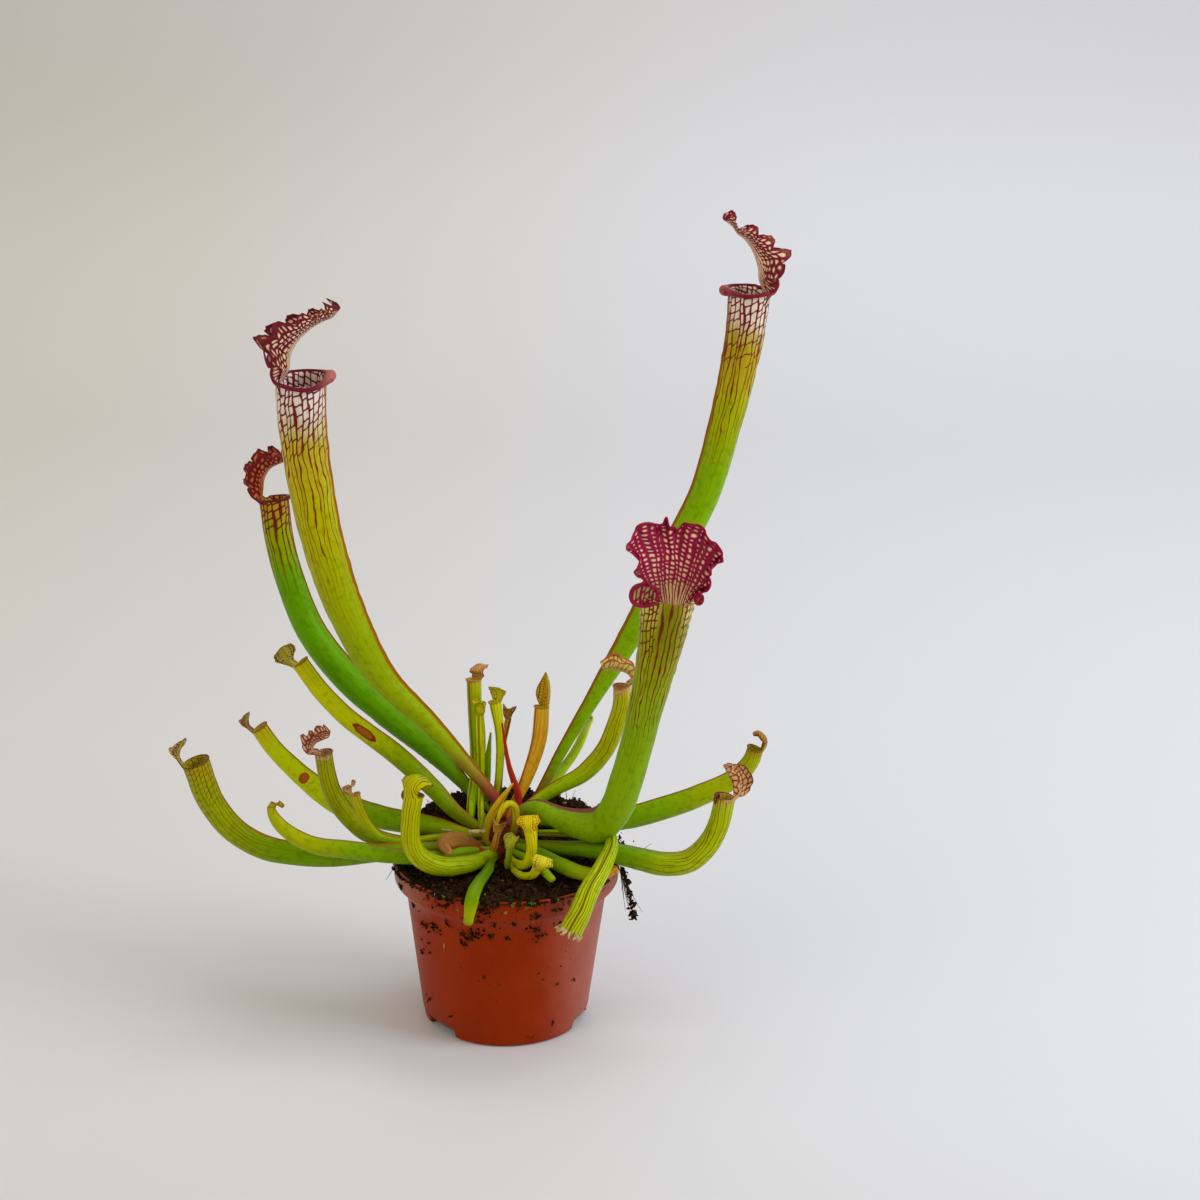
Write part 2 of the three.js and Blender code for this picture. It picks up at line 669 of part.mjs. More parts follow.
// The hood or lid: a sheet that goes on from the back wall of the tube, round like it at its root,
// and arches over the mouth.
function hoodSolid(leaf, mouth, backWall) {
  const { line, half, bend, ruffle = 0, lobes = 0, rows, columns } = leaf.hood;
  const middle = new THREE.SplineCurve(line.map(([f, u]) => new THREE.Vector2(f - backWall, u)));
  const grid = [];
  for (let j = 0; j <= rows; j++) {
    const v = j / rows;
    const here = middle.getPoint(v);
    const way = middle.getTangent(v);
    const free = THREE.MathUtils.smoothstep(v, HOOD_LEAVES, HOOD_FOLDED);
    const reach = THREE.MathUtils.lerp(Math.min(along(half, v), ROOT_REACH * backWall), along(half, v), free);
    const row = [];
    for (let i = 0; i <= columns; i++) {
      const u = (2 * i) / columns - 1;
      const turn = 2 * Math.PI * lobes * v + (u > 0 ? 0 : MARGIN_SHIFT);
      const wave = Math.sin(turn) * ruffle * free;
      const knob = lobes ? 1 + KNOB_SWELL * Math.cos(turn) * free * u ** 4 : 1;
      const wrapped = backWall - Math.sqrt(Math.max(0, backWall ** 2 - (reach * u) ** 2));
      const folded = along(bend, v) * (u * knob) ** 2 + wave * Math.abs(u * u * u);
      const fold = THREE.MathUtils.lerp(wrapped, folded, free);
      row.push(
        mouth.at.clone()
          .addScaledVector(mouth.inner, here.x + way.y * fold)
          .addScaledVector(mouth.up, here.y - way.x * fold)
          .addScaledVector(mouth.side, reach * u * knob),
      );
    }
    grid.push(row);
  }
  return solidOfSheet(grid, HOOD_THICKNESS);
}

// How finely a tube is divided: round it, and along it.
function meshOf(leaf, length) {
  const widest = Math.max(...leaf.width);
  const kind = [WIDE_TUBE, MIDDLE_TUBE].find(({ over }) => widest > over) ?? NARROW_TUBE;
  return { sides: kind.sides, steps: Math.max(FEWEST_STEPS, Math.round(length / (leaf.step ?? kind.step))) };
}

// The whole leaf: tube, rolled lip, open throat and hood.
function leafSolid(leaf) {
  const curve = spineOf(leaf);
  const { width, wing = [0, 0], flat = 1, lip = 0, deep = 0 } = leaf;
  const length = curve.getLength();
  const { sides, steps } = meshOf(leaf, length);
  const tubeRing = (t, inset) =>
    ringAt(axesAt(leaf, curve, t), along(width, t) / 2 - inset, 0, flat, inset ? 0 : along(wing, t), sides);
  const rings = [];
  for (let j = 0; j <= steps; j++) rings.push(tubeRing(j / steps, 0));
  const mouth = axesAt(leaf, curve, 1);
  const radius = width[width.length - 1] / 2;
  const wall = Math.min(TUBE_WALL, radius * NARROW_WALL_SHARE);
  if (deep) {
    for (const [out, height] of leaf.great ? ROLLED_LIP : PLAIN_LIP)
      rings.push(lipRing(mouth, radius, out * lip, height * lip, sides));
    const throatSteps = Math.max(2, Math.round((steps * deep) / length / 2));
    const down = deep / length / throatSteps;
    for (let j = 0; j <= throatSteps; j++) rings.push(tubeRing(1 - down * j, wall));
  }
  const tube = solidOfRings(rings);
  return leaf.hood ? tube.add(hoodSolid(leaf, mouth, radius - wall / 2)) : tube;
}

// The plain outside of a leaf's tube, larger all round by the clearance, to cut room for it.
function roomFor(leaf) {
  const curve = spineOf(leaf);
  const { width, wing = [0, 0], flat = 1, lip = 0 } = leaf;
  const { sides, steps } = meshOf(leaf, curve.getLength());
  const grow = GAP / Math.cos(Math.PI / sides);
  const rings = [];
  const ring = (t, height) => {
    const radius = along(width, t) / 2;
    const thin = (radius * flat + grow) / (radius + grow);
    return ringAt(axesAt(leaf, curve, t), radius + grow, height, thin, along(wing, t), sides);
  };
  rings.push(ring(0, -GAP));
  for (let j = 0; j <= steps; j++) rings.push(ring(j / steps, 0));
  rings.push(ring(1, lip + GAP));
  return solidOfRings(rings);
}

// A three.js geometry as a solid, and a solid as a three.js geometry.
function solidOfGeometry(geometry) {
  const bare = geometry.clone();
  bare.deleteAttribute("normal");
  bare.deleteAttribute("uv");
  const merged = mergeVertices(bare, 1e-3);
  const at = merged.attributes.position;
  const points = [];
  for (let i = 0; i < at.count; i++) points.push(new THREE.Vector3().fromBufferAttribute(at, i));
  const triangles = [];
  for (let i = 0; i < merged.index.count; i += 3) {
    const [a, b, c] = [0, 1, 2].map((k) => merged.index.getX(i + k));
    if (a !== b && b !== c && c !== a) triangles.push([a, b, c]);
  }
  return solidFrom(points, triangles);
}

function geometryOf(solid) {
  const mesh = solid.getMesh();
  const geometry = new THREE.BufferGeometry();
  const count = mesh.numProp;
  const positions = [];
  for (let i = 0; i < mesh.vertProperties.length; i += count)
    positions.push(...mesh.vertProperties.subarray(i, i + 3));
  geometry.setAttribute("position", new THREE.Float32BufferAttribute(positions, 3));
  geometry.setIndex(Array.from(mesh.triVerts));
  return geometry;
}

function largestBody(solid) {
  return solid.decompose().reduce((best, body) => (body.volume() > best.volume() ? body : best));
}

// The pot: a spun shell with a stepped collar, its foot's edge cut by small drainage slots.
function potSolid() {
  const neckHeight = POT_HEIGHT - COLLAR_HEIGHT - COLLAR_SLOPE;
  const collarFoot = POT_HEIGHT - COLLAR_HEIGHT;
  const profile = [
    [0, 0],
    [FOOT_RADIUS - 2, 0],
    [FOOT_RADIUS - 0.6, 0.6],
    [FOOT_RADIUS, 2.2],
    [NECK_RADIUS, neckHeight],
    [RIM_RADIUS - 0.9, collarFoot],
    [RIM_RADIUS - 0.3, POT_HEIGHT - 1.4],
    [RIM_RADIUS, POT_HEIGHT - 0.7],
    [RIM_RADIUS - 0.6, POT_HEIGHT],
    [RIM_RADIUS - POT_WALL - 0.5, POT_HEIGHT - 0.5],
    [RIM_RADIUS - POT_WALL - 1, collarFoot + 0.3],
    [NECK_RADIUS - POT_WALL, neckHeight + 0.4],
    [FOOT_RADIUS - POT_WALL, 2.6],
    [FOOT_RADIUS - POT_WALL - 1.4, POT_WALL],
    [0, POT_WALL],
  ].map(([r, z]) => new THREE.Vector2(r, z));
  const spun = new THREE.LatheGeometry(profile, POT_SIDES).rotateX(Math.PI / 2);
  let pot = solidOfGeometry(spun);
  for (let i = 0; i < DRAIN_SLOTS; i++) {
    const slot = new THREE.BoxGeometry(DRAIN_DEPTH, DRAIN_WIDTH, 2 * DRAIN_HEIGHT);
    slot.translate(FOOT_RADIUS + 1, 0, 0);
    slot.rotateZ(DRAIN_TURN + (2 * Math.PI * i) / DRAIN_SLOTS);
    pot = pot.subtract(solidOfGeometry(slot));
  }
  return pot;
}

// The height of the peat's surface: lifted towards the back, with a worn shoulder, and crumbly.
function peatHeight(x, y) {
  const lift = PEAT_LIFT * THREE.MathUtils.smoothstep(y, LIFT_FROM, LIFT_TO);
  const shoulder = PEAT_SHOULDER * THREE.MathUtils.smoothstep(Math.hypot(x, y), SHOULDER_FROM, SHOULDER_TO);
  const crumbs = Math.sin(x * 0.9 + 2) * Math.cos(y * 0.8 + 1) + 0.6 * Math.sin(1.7 * x - 1.3 * y);
  return PEAT_AT_RIM + lift - (shoulder * lift) / PEAT_LIFT + PEAT_ROUGHNESS * crumbs;
}

function peatSolid() {
  const inside = POT_WALL + GAP;
  const neckHeight = POT_HEIGHT - COLLAR_HEIGHT - COLLAR_SLOPE;
  const edge = RIM_RADIUS - inside - 1.2;
  const profile = [
    [0, POT_WALL + GAP],
    [FOOT_RADIUS - inside - 1.8, POT_WALL + GAP],
    [FOOT_RADIUS - inside - 0.4, 3.2],
    [NECK_RADIUS - inside - 0.4, neckHeight + 0.6],
    [edge, POT_HEIGHT - COLLAR_HEIGHT + 1.2],
    ...PEAT_RINGS.map((share) => [edge * share, POT_HEIGHT]),
  ].map(([r, z]) => new THREE.Vector2(r, z));
  const spun = new THREE.LatheGeometry(profile, POT_SIDES).rotateX(Math.PI / 2);
  const at = spun.attributes.position;
  for (let i = 0; i < at.count; i++)
    if (at.getZ(i) > POT_HEIGHT - 0.01) at.setZ(i, peatHeight(at.getX(i), at.getY(i)));
  return solidOfGeometry(spun);
}

function rhizomeSolid(grow) {
  const ball = new THREE.SphereGeometry(1, RHIZOME_SIDES, RHIZOME_ROWS).rotateX(Math.PI / 2);
  const { x, y, z, halfX, halfY, halfZ } = RHIZOME;
  return solidOfGeometry(ball.scale(halfX + grow, halfY + grow, halfZ + grow).translate(x, y, z));
}

function overlaps(a, b) {
  return a.min.every((low, k) => low < b.max[k] && b.min[k] < a.max[k]);
}

// Every piece in order: a later one gives way to the ones before it.
const plant = new THREE.Group();

function addPiece(name, solid, color, roughness) {
  const material = new THREE.MeshStandardMaterial({ color, roughness, metalness: 0 });
  const mesh = new THREE.Mesh(geometryOf(solid), material);
  mesh.name = name;
  plant.add(mesh);
}

const pot = potSolid();
addPiece("pot", pot, POT_RED, 0.45);

const rhizome = rhizomeSolid(0);
const taken = [{ room: rhizomeSolid(GAP), box: rhizomeSolid(GAP).boundingBox() }];
addPiece("rhizome", rhizome, STEM_RED, 0.7);

for (const leaf of LEAVES) {
  let solid = leafSolid(leaf);
  const box = solid.boundingBox();
  for (const other of taken) if (overlaps(box, other.box)) solid = solid.subtract(other.room);
  addPiece(leaf.name, largestBody(solid), leaf.color, 0.45);
  const room = roomFor(leaf);
  taken.push({ room, box: room.boundingBox() });
}

let peat = peatSolid();
for (const other of taken) peat = peat.subtract(other.room);
addPiece("peat", largestBody(peat), PEAT_BROWN, 0.95);

export default plant;
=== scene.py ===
import math
import random

import bmesh
import bpy
import numpy as np
from mathutils import Matrix, Vector, noise


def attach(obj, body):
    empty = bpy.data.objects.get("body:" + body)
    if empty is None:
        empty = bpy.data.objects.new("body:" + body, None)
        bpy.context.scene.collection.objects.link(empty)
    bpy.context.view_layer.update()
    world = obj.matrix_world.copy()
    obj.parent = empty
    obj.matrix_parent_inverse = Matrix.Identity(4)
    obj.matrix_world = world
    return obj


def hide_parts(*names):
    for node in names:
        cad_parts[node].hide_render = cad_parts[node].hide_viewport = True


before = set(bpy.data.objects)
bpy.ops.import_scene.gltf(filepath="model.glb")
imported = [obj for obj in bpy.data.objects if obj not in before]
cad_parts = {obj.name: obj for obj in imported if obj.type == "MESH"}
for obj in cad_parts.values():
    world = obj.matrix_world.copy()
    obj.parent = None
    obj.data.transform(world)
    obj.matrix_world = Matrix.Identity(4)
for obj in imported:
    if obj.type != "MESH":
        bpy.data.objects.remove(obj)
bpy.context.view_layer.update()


# The camera stands a little to the right of the pot, three quarters of a metre off, and looks down
# at it. Its picture is square.
EYE = Vector((0.0347, -0.764, 0.3995))
LOOKS_DOWN = math.radians(16.56)
LEANS = math.radians(1.15)
LENS = 63

forward = Vector((0, math.cos(LOOKS_DOWN), -math.sin(LOOKS_DOWN)))
level = Vector((1, 0, 0))
upright = level.cross(forward)
right = math.cos(LEANS) * level + math.sin(LEANS) * upright
top = -math.sin(LEANS) * level + math.cos(LEANS) * upright
camera = bpy.data.objects.new("camera", bpy.data.cameras.new("camera"))
camera.data.lens = LENS
camera.data.sensor_width = 36
camera.matrix_world = Matrix.Translation(EYE) @ Matrix((right, top, -forward)).transposed().to_4x4()
bpy.context.scene.collection.objects.link(camera)
bpy.context.scene.camera = camera
bpy.context.scene.view_settings.view_transform = "Standard"


# The studio: one pale paper sweep that lies flat under the pot and rises behind it, and soft light
# from the right front with a weaker warm one from the left. Finishes are made from nodes: a Value
# is a number that varies over a surface, and sums and products of Values add Math nodes.
class Value:
    def __init__(self, finish, socket):
        self.finish = finish
        self.socket = socket

    def math(self, operation, other=None, swapped=False):
        pair = (other, self) if swapped else (self, other)
        wanted = {place: number for place, number in enumerate(pair) if number is not None}
        return self.finish.node("ShaderNodeMath", {"operation": operation}, wanted)

    def __add__(self, other):
        return self.math("ADD", other)

    def __sub__(self, other):
        return self.math("SUBTRACT", other)

    def __rsub__(self, other):
        return self.math("SUBTRACT", other, swapped=True)

    def __mul__(self, other):
        return self.math("MULTIPLY", other)

    def __truediv__(self, other):
        return self.math("DIVIDE", other)

    __radd__ = __add__

    def rise(self, low, high):
        """0 up to low, 1 from high on, and a smooth rise between them."""
        ends = {0: self, 1: low, 2: high}
        return self.finish.node("ShaderNodeMapRange", {"interpolation_type": "SMOOTHSTEP"}, ends)

    def fall(self, low, high):
        """1 up to low, 0 from high on."""
        return 1 - self.rise(low, high)


def screen(text):
    """The light of a screen colour that is given by its six digits."""
    shares = [int(text[k : k + 2], 16) / 255 for k in (0, 2, 4)]
    return tuple(s / 12.92 if s < 0.04045 else ((s + 0.055) / 1.055) ** 2.4 for s in shares)


class Finish:
    def __init__(self, name):
        self.material = bpy.data.materials.new(name)
        self.material.use_nodes = True
        self.tree = self.material.node_tree
        self.shader = self.tree.nodes["Principled BSDF"]

    def join(self, value, socket):
        if isinstance(value, Value):
            self.tree.links.new(value.socket, socket)
        elif isinstance(value, str):
            socket.default_value = (*screen(value), 1)
        else:
            socket.default_value = value

    def node(self, kind, settings=None, inputs=None, output=0):
        made = self.tree.nodes.new(kind)
        for name, value in (settings or {}).items():
            setattr(made, name, value)
        for place, value in (inputs or {}).items():
            self.join(value, made.inputs[place])
        return Value(self, made.outputs[output])

    def mix(self, share, under, over):
        return self.node("ShaderNodeMix", {"data_type": "RGBA"}, {0: share, 6: under, 7: over}, 2)

    def place(self):
        return self.node("ShaderNodeTexCoord", output="Object")

    def mark(self, name):
        return self.node("ShaderNodeAttribute", {"attribute_name": name}, output="Fac")

    def cloud(self, at, scale, detail=3, rough=0.5):
        inputs = {"Vector": at, "Scale": scale, "Detail": detail, "Roughness": rough}
        return self.node("ShaderNodeTexNoise", inputs=inputs)

    def part(self, vector, axis):
        return self.node("ShaderNodeSeparateXYZ", inputs={0: vector}, output=axis)

    def vector(self, x, y, z=0.0):
        return self.node("ShaderNodeCombineXYZ", inputs={0: x, 1: y, 2: z})

    def coat(self, base, roughness, height=None, depth=0.001, strength=1.0, **plain):
        """Puts the colour, the roughness and the relief on the shader, and sets its plain values."""
        self.join(base, self.shader.inputs["Base Color"])
        self.join(roughness, self.shader.inputs["Roughness"])
        for name, value in plain.items():
            self.join(value, self.shader.inputs[name.replace("_", " ")])
        if height is not None:
            relief = {"Height": height, "Distance": depth, "Strength": strength}
            self.join(self.node("ShaderNodeBump", inputs=relief), self.shader.inputs["Normal"])
        return self.material


def put(name, bm, material, slot=None, nodes=()):
    """Makes a piece from a finished bmesh. One with a slot is part of the object: its faces turn
    outward, and it takes the place of the nodes."""
    if slot:
        bmesh.ops.recalc_face_normals(bm, faces=bm.faces)
    mesh = bpy.data.meshes.new(name)
    bm.to_mesh(mesh)
    bm.free()
    mesh.polygons.foreach_set("use_smooth", [True] * len(mesh.polygons))
    mesh.materials.append(material)
    piece = bpy.data.objects.new(name, mesh)
    bpy.context.scene.collection.objects.link(piece)
    if slot:
        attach(piece, "root")
        if nodes:
            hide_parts(*nodes)
    return piece


def lamp(name, place, aim, size, power, tint):
    light = bpy.data.lights.new(name, "AREA")
    light.size = size
    light.energy = power
    light.color = tint
    body = bpy.data.objects.new(name, light)
    body.location = place
    body.rotation_euler = (Vector(aim) - Vector(place)).to_track_quat("-Z", "Y").to_euler()
    bpy.context.scene.collection.objects.link(body)


SWEEP_HALF = 4.0
SWEEP_TURNS_AT = 1.1
SWEEP_BEND = 0.9

sweep = bmesh.new()
for vert in bmesh.ops.create_grid(sweep, x_segments=2, y_segments=80, size=SWEEP_HALF)["verts"]:
    past = max(0.0, vert.co.y - SWEEP_TURNS_AT)
    turn = min(past / SWEEP_BEND, math.pi / 2)
    if past:
        vert.co.z = SWEEP_BEND * (1 - math.cos(turn)) + max(0.0, past - SWEEP_BEND * math.pi / 2)
        vert.co.y = SWEEP_TURNS_AT + SWEEP_BEND * math.sin(turn)
paper = Finish("sweep_paper")
at = paper.place()
aside, high = paper.part(at, 0), paper.part(at, 2)
# Painted light: the paper is warm and darker on the left, cool and brighter on the right, as the lamps
# tint it.
tone = paper.mix(aside.rise(-0.7, 0.4), "d8d4ca", "dee2ec")
# Painted shade: the paper darkens towards the top, and more so towards the top left.
tone = paper.mix(high.rise(0.0, 0.36) * aside.fall(-0.8, 0.3) * 0.6, tone, "b0a89e")
tone = paper.mix(high.rise(0.1, 0.4) * 0.6, tone, "c2c0c0")
# Painted shade: the floor darkens towards the front.
tone = paper.mix(paper.part(at, 1).fall(-0.28, -0.06) * 0.5, tone, "c4c0bc")
tone = paper.mix(paper.cloud(at, 1.3, 2) * 0.25, tone, "dcdcdc")
put("sweep", sweep, paper.coat(tone, 0.6))

lamp("window_light", (1.45, -0.4, 1.05), (0, 0, 0.12), 0.8, 15.5, (0.9, 0.97, 1.06))
lamp("left_fill", (-1.4, -1.1, 0.9), (0, 0, 0.1), 1.4, 7, (1.0, 0.88, 0.72))
lamp("wall_light", (0.5, 0.6, 2.2), (0.3, 1.9, 0.9), 1.2, 14, (0.95, 0.98, 1.04))
world = bpy.data.worlds.new("room")
world.use_nodes = True
world.node_tree.nodes["Background"].inputs["Color"].default_value = (1.0, 0.93, 0.83, 1)
world.node_tree.nodes["Background"].inputs["Strength"].default_value = 0.6
bpy.context.scene.world = world


# The pot: a thin nursery pot of red-brown polypropylene, 9 cm across its collar, with three low and
# wide drain cut-outs through the edge of its foot. It is one satin skin, dusty and smeared with soil,
# with a pale pink sheen painted down its right side.
MM = 0.001
RIM = 45.0
POT_HIGH = 67.0
FOOT = 32.6
NECK = 39.4
COLLAR = 8.0
SLOPE = 5.5
SKIN = 1.0
DRAINS = 3
DRAIN_TURN = math.radians(101)
DRAIN_WIDE = 17.0
DRAIN_HIGH = 4.2
POT_SEGMENTS = 180

neck_high = POT_HIGH - COLLAR - SLOPE
collar_foot = POT_HIGH - COLLAR
side = [(FOOT + share * (NECK - FOOT), share * neck_high) for share in (0.1, 0.3, 0.5, 0.7, 0.9, 0.97)]
outline = [
    (0, 0.4), (FOOT - 6, 0.4), (FOOT - 2, 0), (FOOT - 0.8, 0.35), (FOOT - 0.15, 1.2), (FOOT, 2.4),
    *side, (NECK + 0.35, neck_high + 0.5), (RIM - 1.4, collar_foot - 0.7),
    (RIM - 0.95, collar_foot + 0.3), (RIM - 0.5, POT_HIGH - 2.2), (RIM - 0.1, POT_HIGH - 1.2),
    (RIM, POT_HIGH - 0.6), (RIM - 0.3, POT_HIGH - 0.1), (RIM - 0.8, POT_HIGH),
    (RIM - 1.5, POT_HIGH - 0.5), (RIM - 2, collar_foot + 0.3), (NECK - SKIN, neck_high + 0.4),
    (FOOT - SKIN, 3), (FOOT - 3, 1.4), (0, 1.4),
]
shell = bmesh.new()
line = [shell.verts.new((r * MM, 0, z * MM)) for r, z in outline]
ribs = [shell.edges.new(pair) for pair in zip(line, line[1:])]
bmesh.ops.spin(shell, geom=line + ribs, cent=(0, 0, 0), axis=(0, 0, 1), angle=2 * math.pi,
               steps=POT_SEGMENTS, use_merge=True)
bmesh.ops.remove_doubles(shell, verts=shell.verts, dist=1e-6)
for vert in shell.verts:
    around = math.atan2(vert.co.y, vert.co.x)
    out = math.hypot(vert.co.x, vert.co.y)
    for k in range(DRAINS):
        off = (around - DRAIN_TURN - 2 * math.pi * k / DRAINS + math.pi) % (2 * math.pi) - math.pi
        inside = max(0.0, 1 - abs(off) * out / (DRAIN_WIDE / 2 * MM))
        lift = DRAIN_HIGH * MM * min(1.0, inside * 9)
        if out > (FOOT - 6) * MM and vert.co.z < lift:
            vert.co.z = lift

clay = Finish("pot_plastic_skin")
at = clay.place()
high = clay.part(at, 2) / MM
aside = clay.part(at, 0) / MM
tone = clay.mix(clay.cloud(at, 60, 4), "842200", "962c02")
smear_and_sheen = clay.cloud(at, 130, 5, 0.6)
tone = clay.mix(smear_and_sheen.rise(0.5, 0.8) * 0.15, tone, "a0482c")
# Painted sheen: a pale pink highlight down the right side of the pot, broken up by the smear noise.
tone = clay.mix(aside.rise(12, 36) * (smear_and_sheen * 0.5 + 0.25), tone, "b06e60")
tone = clay.mix(aside.fall(-44, -24) * high.rise(48, 56) * 0.7, tone, "a4705c")
soiled = (clay.cloud(at, 420, 6, 0.7) + high * 0.006).rise(0.93, 1.02)
tone = clay.mix(soiled * 0.85, tone, "2a1408")
tone = clay.mix(clay.cloud(at, 900, 3).rise(0.7, 0.74) * 0.8, tone, "331608")
clay.coat(tone, 0.34 + smear_and_sheen * 0.14 + soiled * 0.3, clay.cloud(at, 240, 3), 0.0004, 0.2,
          Specular_IOR_Level=0.18, Specular_Tint=(1.0, 0.42, 0.12, 1.0))
put("pot_skin", shell, clay.material, "pot_plastic", ["pot"])


# The peat: a dark fibrous plug of peat and fine bark that fills the pot, stands above the rim at the
# back, and has crept over the rim in front, with crumbs stuck to the collar and the pot below. Its
# surface is all crumbs and fibres, and a tuft of fine roots hangs out over the rim at the right.
PEAT_AT_RIM = 66.4
PEAT_LIFT = 13.0
SPILL_MIDDLE = math.radians(-96)
SPILL_HALF = math.radians(72)
CRUMBS = 4200
HEAP_CRUMBS = 130
RIM_CRUMBS = 380
TUFT_CRUMBS = 150
TUFT_LONG = 21
FIBRES = 150
TUFT_ROOTS = 16


def lay_sheet(bm, places, uv=None, **marks):
    """Adds a grid of faces through the places, in mm, of rows and columns. A seam where its first and
    last columns meet is closed, and so is a row that is one point."""
    rows, columns = places.shape[:2]
    if "skin" not in bm.loops.layers.uv:
        bm.loops.layers.uv.new("skin")
    for mark in marks:
        if mark not in bm.verts.layers.float:
            bm.verts.layers.float.new(mark)
    layers = {mark: bm.verts.layers.float[mark] for mark in marks}
    skin = bm.loops.layers.uv["skin"]
    grid = bmesh.ops.create_grid(bm, x_segments=columns - 1, y_segments=rows - 1, size=1)["verts"]
    grid_spot = {}
    for vert in grid:
        spot = (round((vert.co.y + 1) / 2 * (rows - 1)), round((vert.co.x + 1) / 2 * (columns - 1)))
        grid_spot[vert] = spot
        vert.co = places[spot] * MM
        for mark, layer in layers.items():
            vert[layer] = float(marks[mark][spot])
    if uv is not None:
        for face in {face for vert in grid for face in vert.link_faces}:
            for loop in face.loops:
                loop[skin].uv = uv[grid_spot[loop.vert]]
    bmesh.ops.remove_doubles(bm, verts=grid, dist=1e-7)


def smooth(value, low, high):
    share = np.clip((value - low) / (high - low), 0, 1)
    return share * share * (3 - 2 * share)


def peat_high(x, y):
    lift = PEAT_LIFT * smooth(y, -8, 30)
    shoulder = 3 * smooth(math.hypot(x, y), 35, 43)
    lumps = noise.fractal(Vector((x, y, 3)) * 0.16, 0.8, 2.1, 3)
    grain = noise.fractal(Vector((x, y, 0)) * 0.5, 0.6, 2.1, 5)
    return PEAT_AT_RIM + lift * (1 - shoulder / PEAT_LIFT) + 1.8 * lumps + 1.5 * grain


edge = RIM - SKIN - 1.6
wall = [(0, SKIN + 0.6), (FOOT - 3.4, SKIN + 0.6), (FOOT - 1.9, 3.4), (NECK - 1.9, neck_high + 0.6)]
radii = np.concatenate([[r for r, z in wall], np.linspace(edge, 0, 70)])
angles = np.linspace(0, 2 * np.pi, 251)
plug = np.zeros((len(radii), len(angles), 3))
for row, radius in enumerate(radii):
    for column, angle in enumerate(angles[:-1]):
        x, y = radius * math.cos(angle), radius * math.sin(angle)
        plug[row, column] = (x, y, wall[row][1] if row < len(wall) else peat_high(x, y))
    plug[row, -1] = plug[row, 0]
plug[-1, :] = (0, 0, peat_high(0, 0))
soil = bmesh.new()
lay_sheet(soil, plug)

loam = Finish("peat_skin")
at = loam.place()
coarse = loam.cloud(at, 330, 6, 0.75).rise(0.36, 0.66)
tone = loam.mix(coarse, "0a0502", "442c12")
tone = loam.mix(loam.cloud(at, 900, 4).rise(0.68, 0.76), tone, "4c3014")
tone = loam.mix(loam.cloud(at, 90, 3).rise(0.62, 0.75) * 0.4, tone, "282e06")
loam.coat(tone, 0.92, loam.cloud(at, 700, 6, 0.75), 0.0014, 1.0, Specular_IOR_Level=0.1)
put("peat_plug", soil, loam.material, "peat", ["peat"])

chance = random.Random(11)
BATCH = 50


def scattered(reach):
    """A random place on the peat as x and y, no further out than the reach, in mm."""
    radius, angle = reach * math.sqrt(chance.random()), chance.uniform(0, 2 * math.pi)
    return radius * math.cos(angle), radius * math.sin(angle)


def crumb_size(least, more, rare):
    """A random size in mm: the higher rare is, the fewer large ones there are."""
    return least + more * chance.random() ** rare


def crumb_heap(spots):
    """Angular crumbs, flattened and turned at random, at places and of sizes in mm."""
    heap = bmesh.new()
    for start in range(0, len(spots), BATCH):
        few = bmesh.new()
        tint = few.verts.layers.float.new("tint")
        for middle, size in spots[start : start + BATCH]:
            axis = Vector([chance.uniform(-1, 1) for k in range(3)])
            shape = Matrix.Diagonal((1, chance.uniform(0.6, 1), chance.uniform(0.4, 0.8), 1))
            turned = Matrix.Rotation(chance.uniform(0, 6.28), 4, axis) @ shape
            spot = Matrix.Translation(Vector(middle) * MM) @ turned
            shade = chance.random()
            made = bmesh.ops.create_icosphere(few, subdivisions=1, radius=size * MM, matrix=spot)
            for vert in made["verts"]:
                vert.co += (vert.co - Vector(middle) * MM) * chance.uniform(-0.35, 0.25)
                vert[tint] = shade
        part = bpy.data.meshes.new("few_crumbs")
        few.to_mesh(part)
        few.free()
        heap.from_mesh(part)
        bpy.data.meshes.remove(part)
    return heap


crumb_finish = Finish("crumb_skin")
tint = crumb_finish.mark("tint")
grain = crumb_finish.cloud(crumb_finish.place(), 1400, 3)
tone = crumb_finish.mix(tint.rise(0.0, 0.9), "0c0602", "442a12")
tone = crumb_finish.mix(tint.rise(0.94, 0.97), tone, "5c4018")
tone = crumb_finish.mix(tint.rise(0.988, 0.992), tone, "a8884c")
tone = crumb_finish.mix(grain.rise(0.4, 0.7) * 0.4, tone, "0a0502")
crumb_finish.coat(tone, 0.9, grain, 0.0004, 0.6, Specular_IOR_Level=0.1)

spots = []
for k in range(CRUMBS):
    x, y = scattered(edge + 0.4)
    size = crumb_size(0.22, 1.3, 4)
    spots.append(((x, y, peat_high(x, y) + 0.3 * size), size))
for k in range(HEAP_CRUMBS):
    x, y = 43 + chance.gauss(0, 1.8), 7 + chance.gauss(0, 4)
    spots.append(((x, y, 67 + chance.uniform(0, 3.4)), crumb_size(0.3, 0.8, 2)))
put("peat_crumbs", crumb_heap(spots), crumb_finish.material, "peat")


def spill_low(angle):
    """How far the spilled peat hangs below the rim, in mm, at an angle round the pot."""
    share = abs((angle - SPILL_MIDDLE) / SPILL_HALF)
    ragged = noise.noise(Vector((angle * 7, 1.7, 0))) + 0.9 * noise.noise(Vector((angle * 23, 4.2, 0)))
    return max(0.0, 0.3 + 2.6 * ragged) * (1 - smooth(share, 0.6, 1.0))


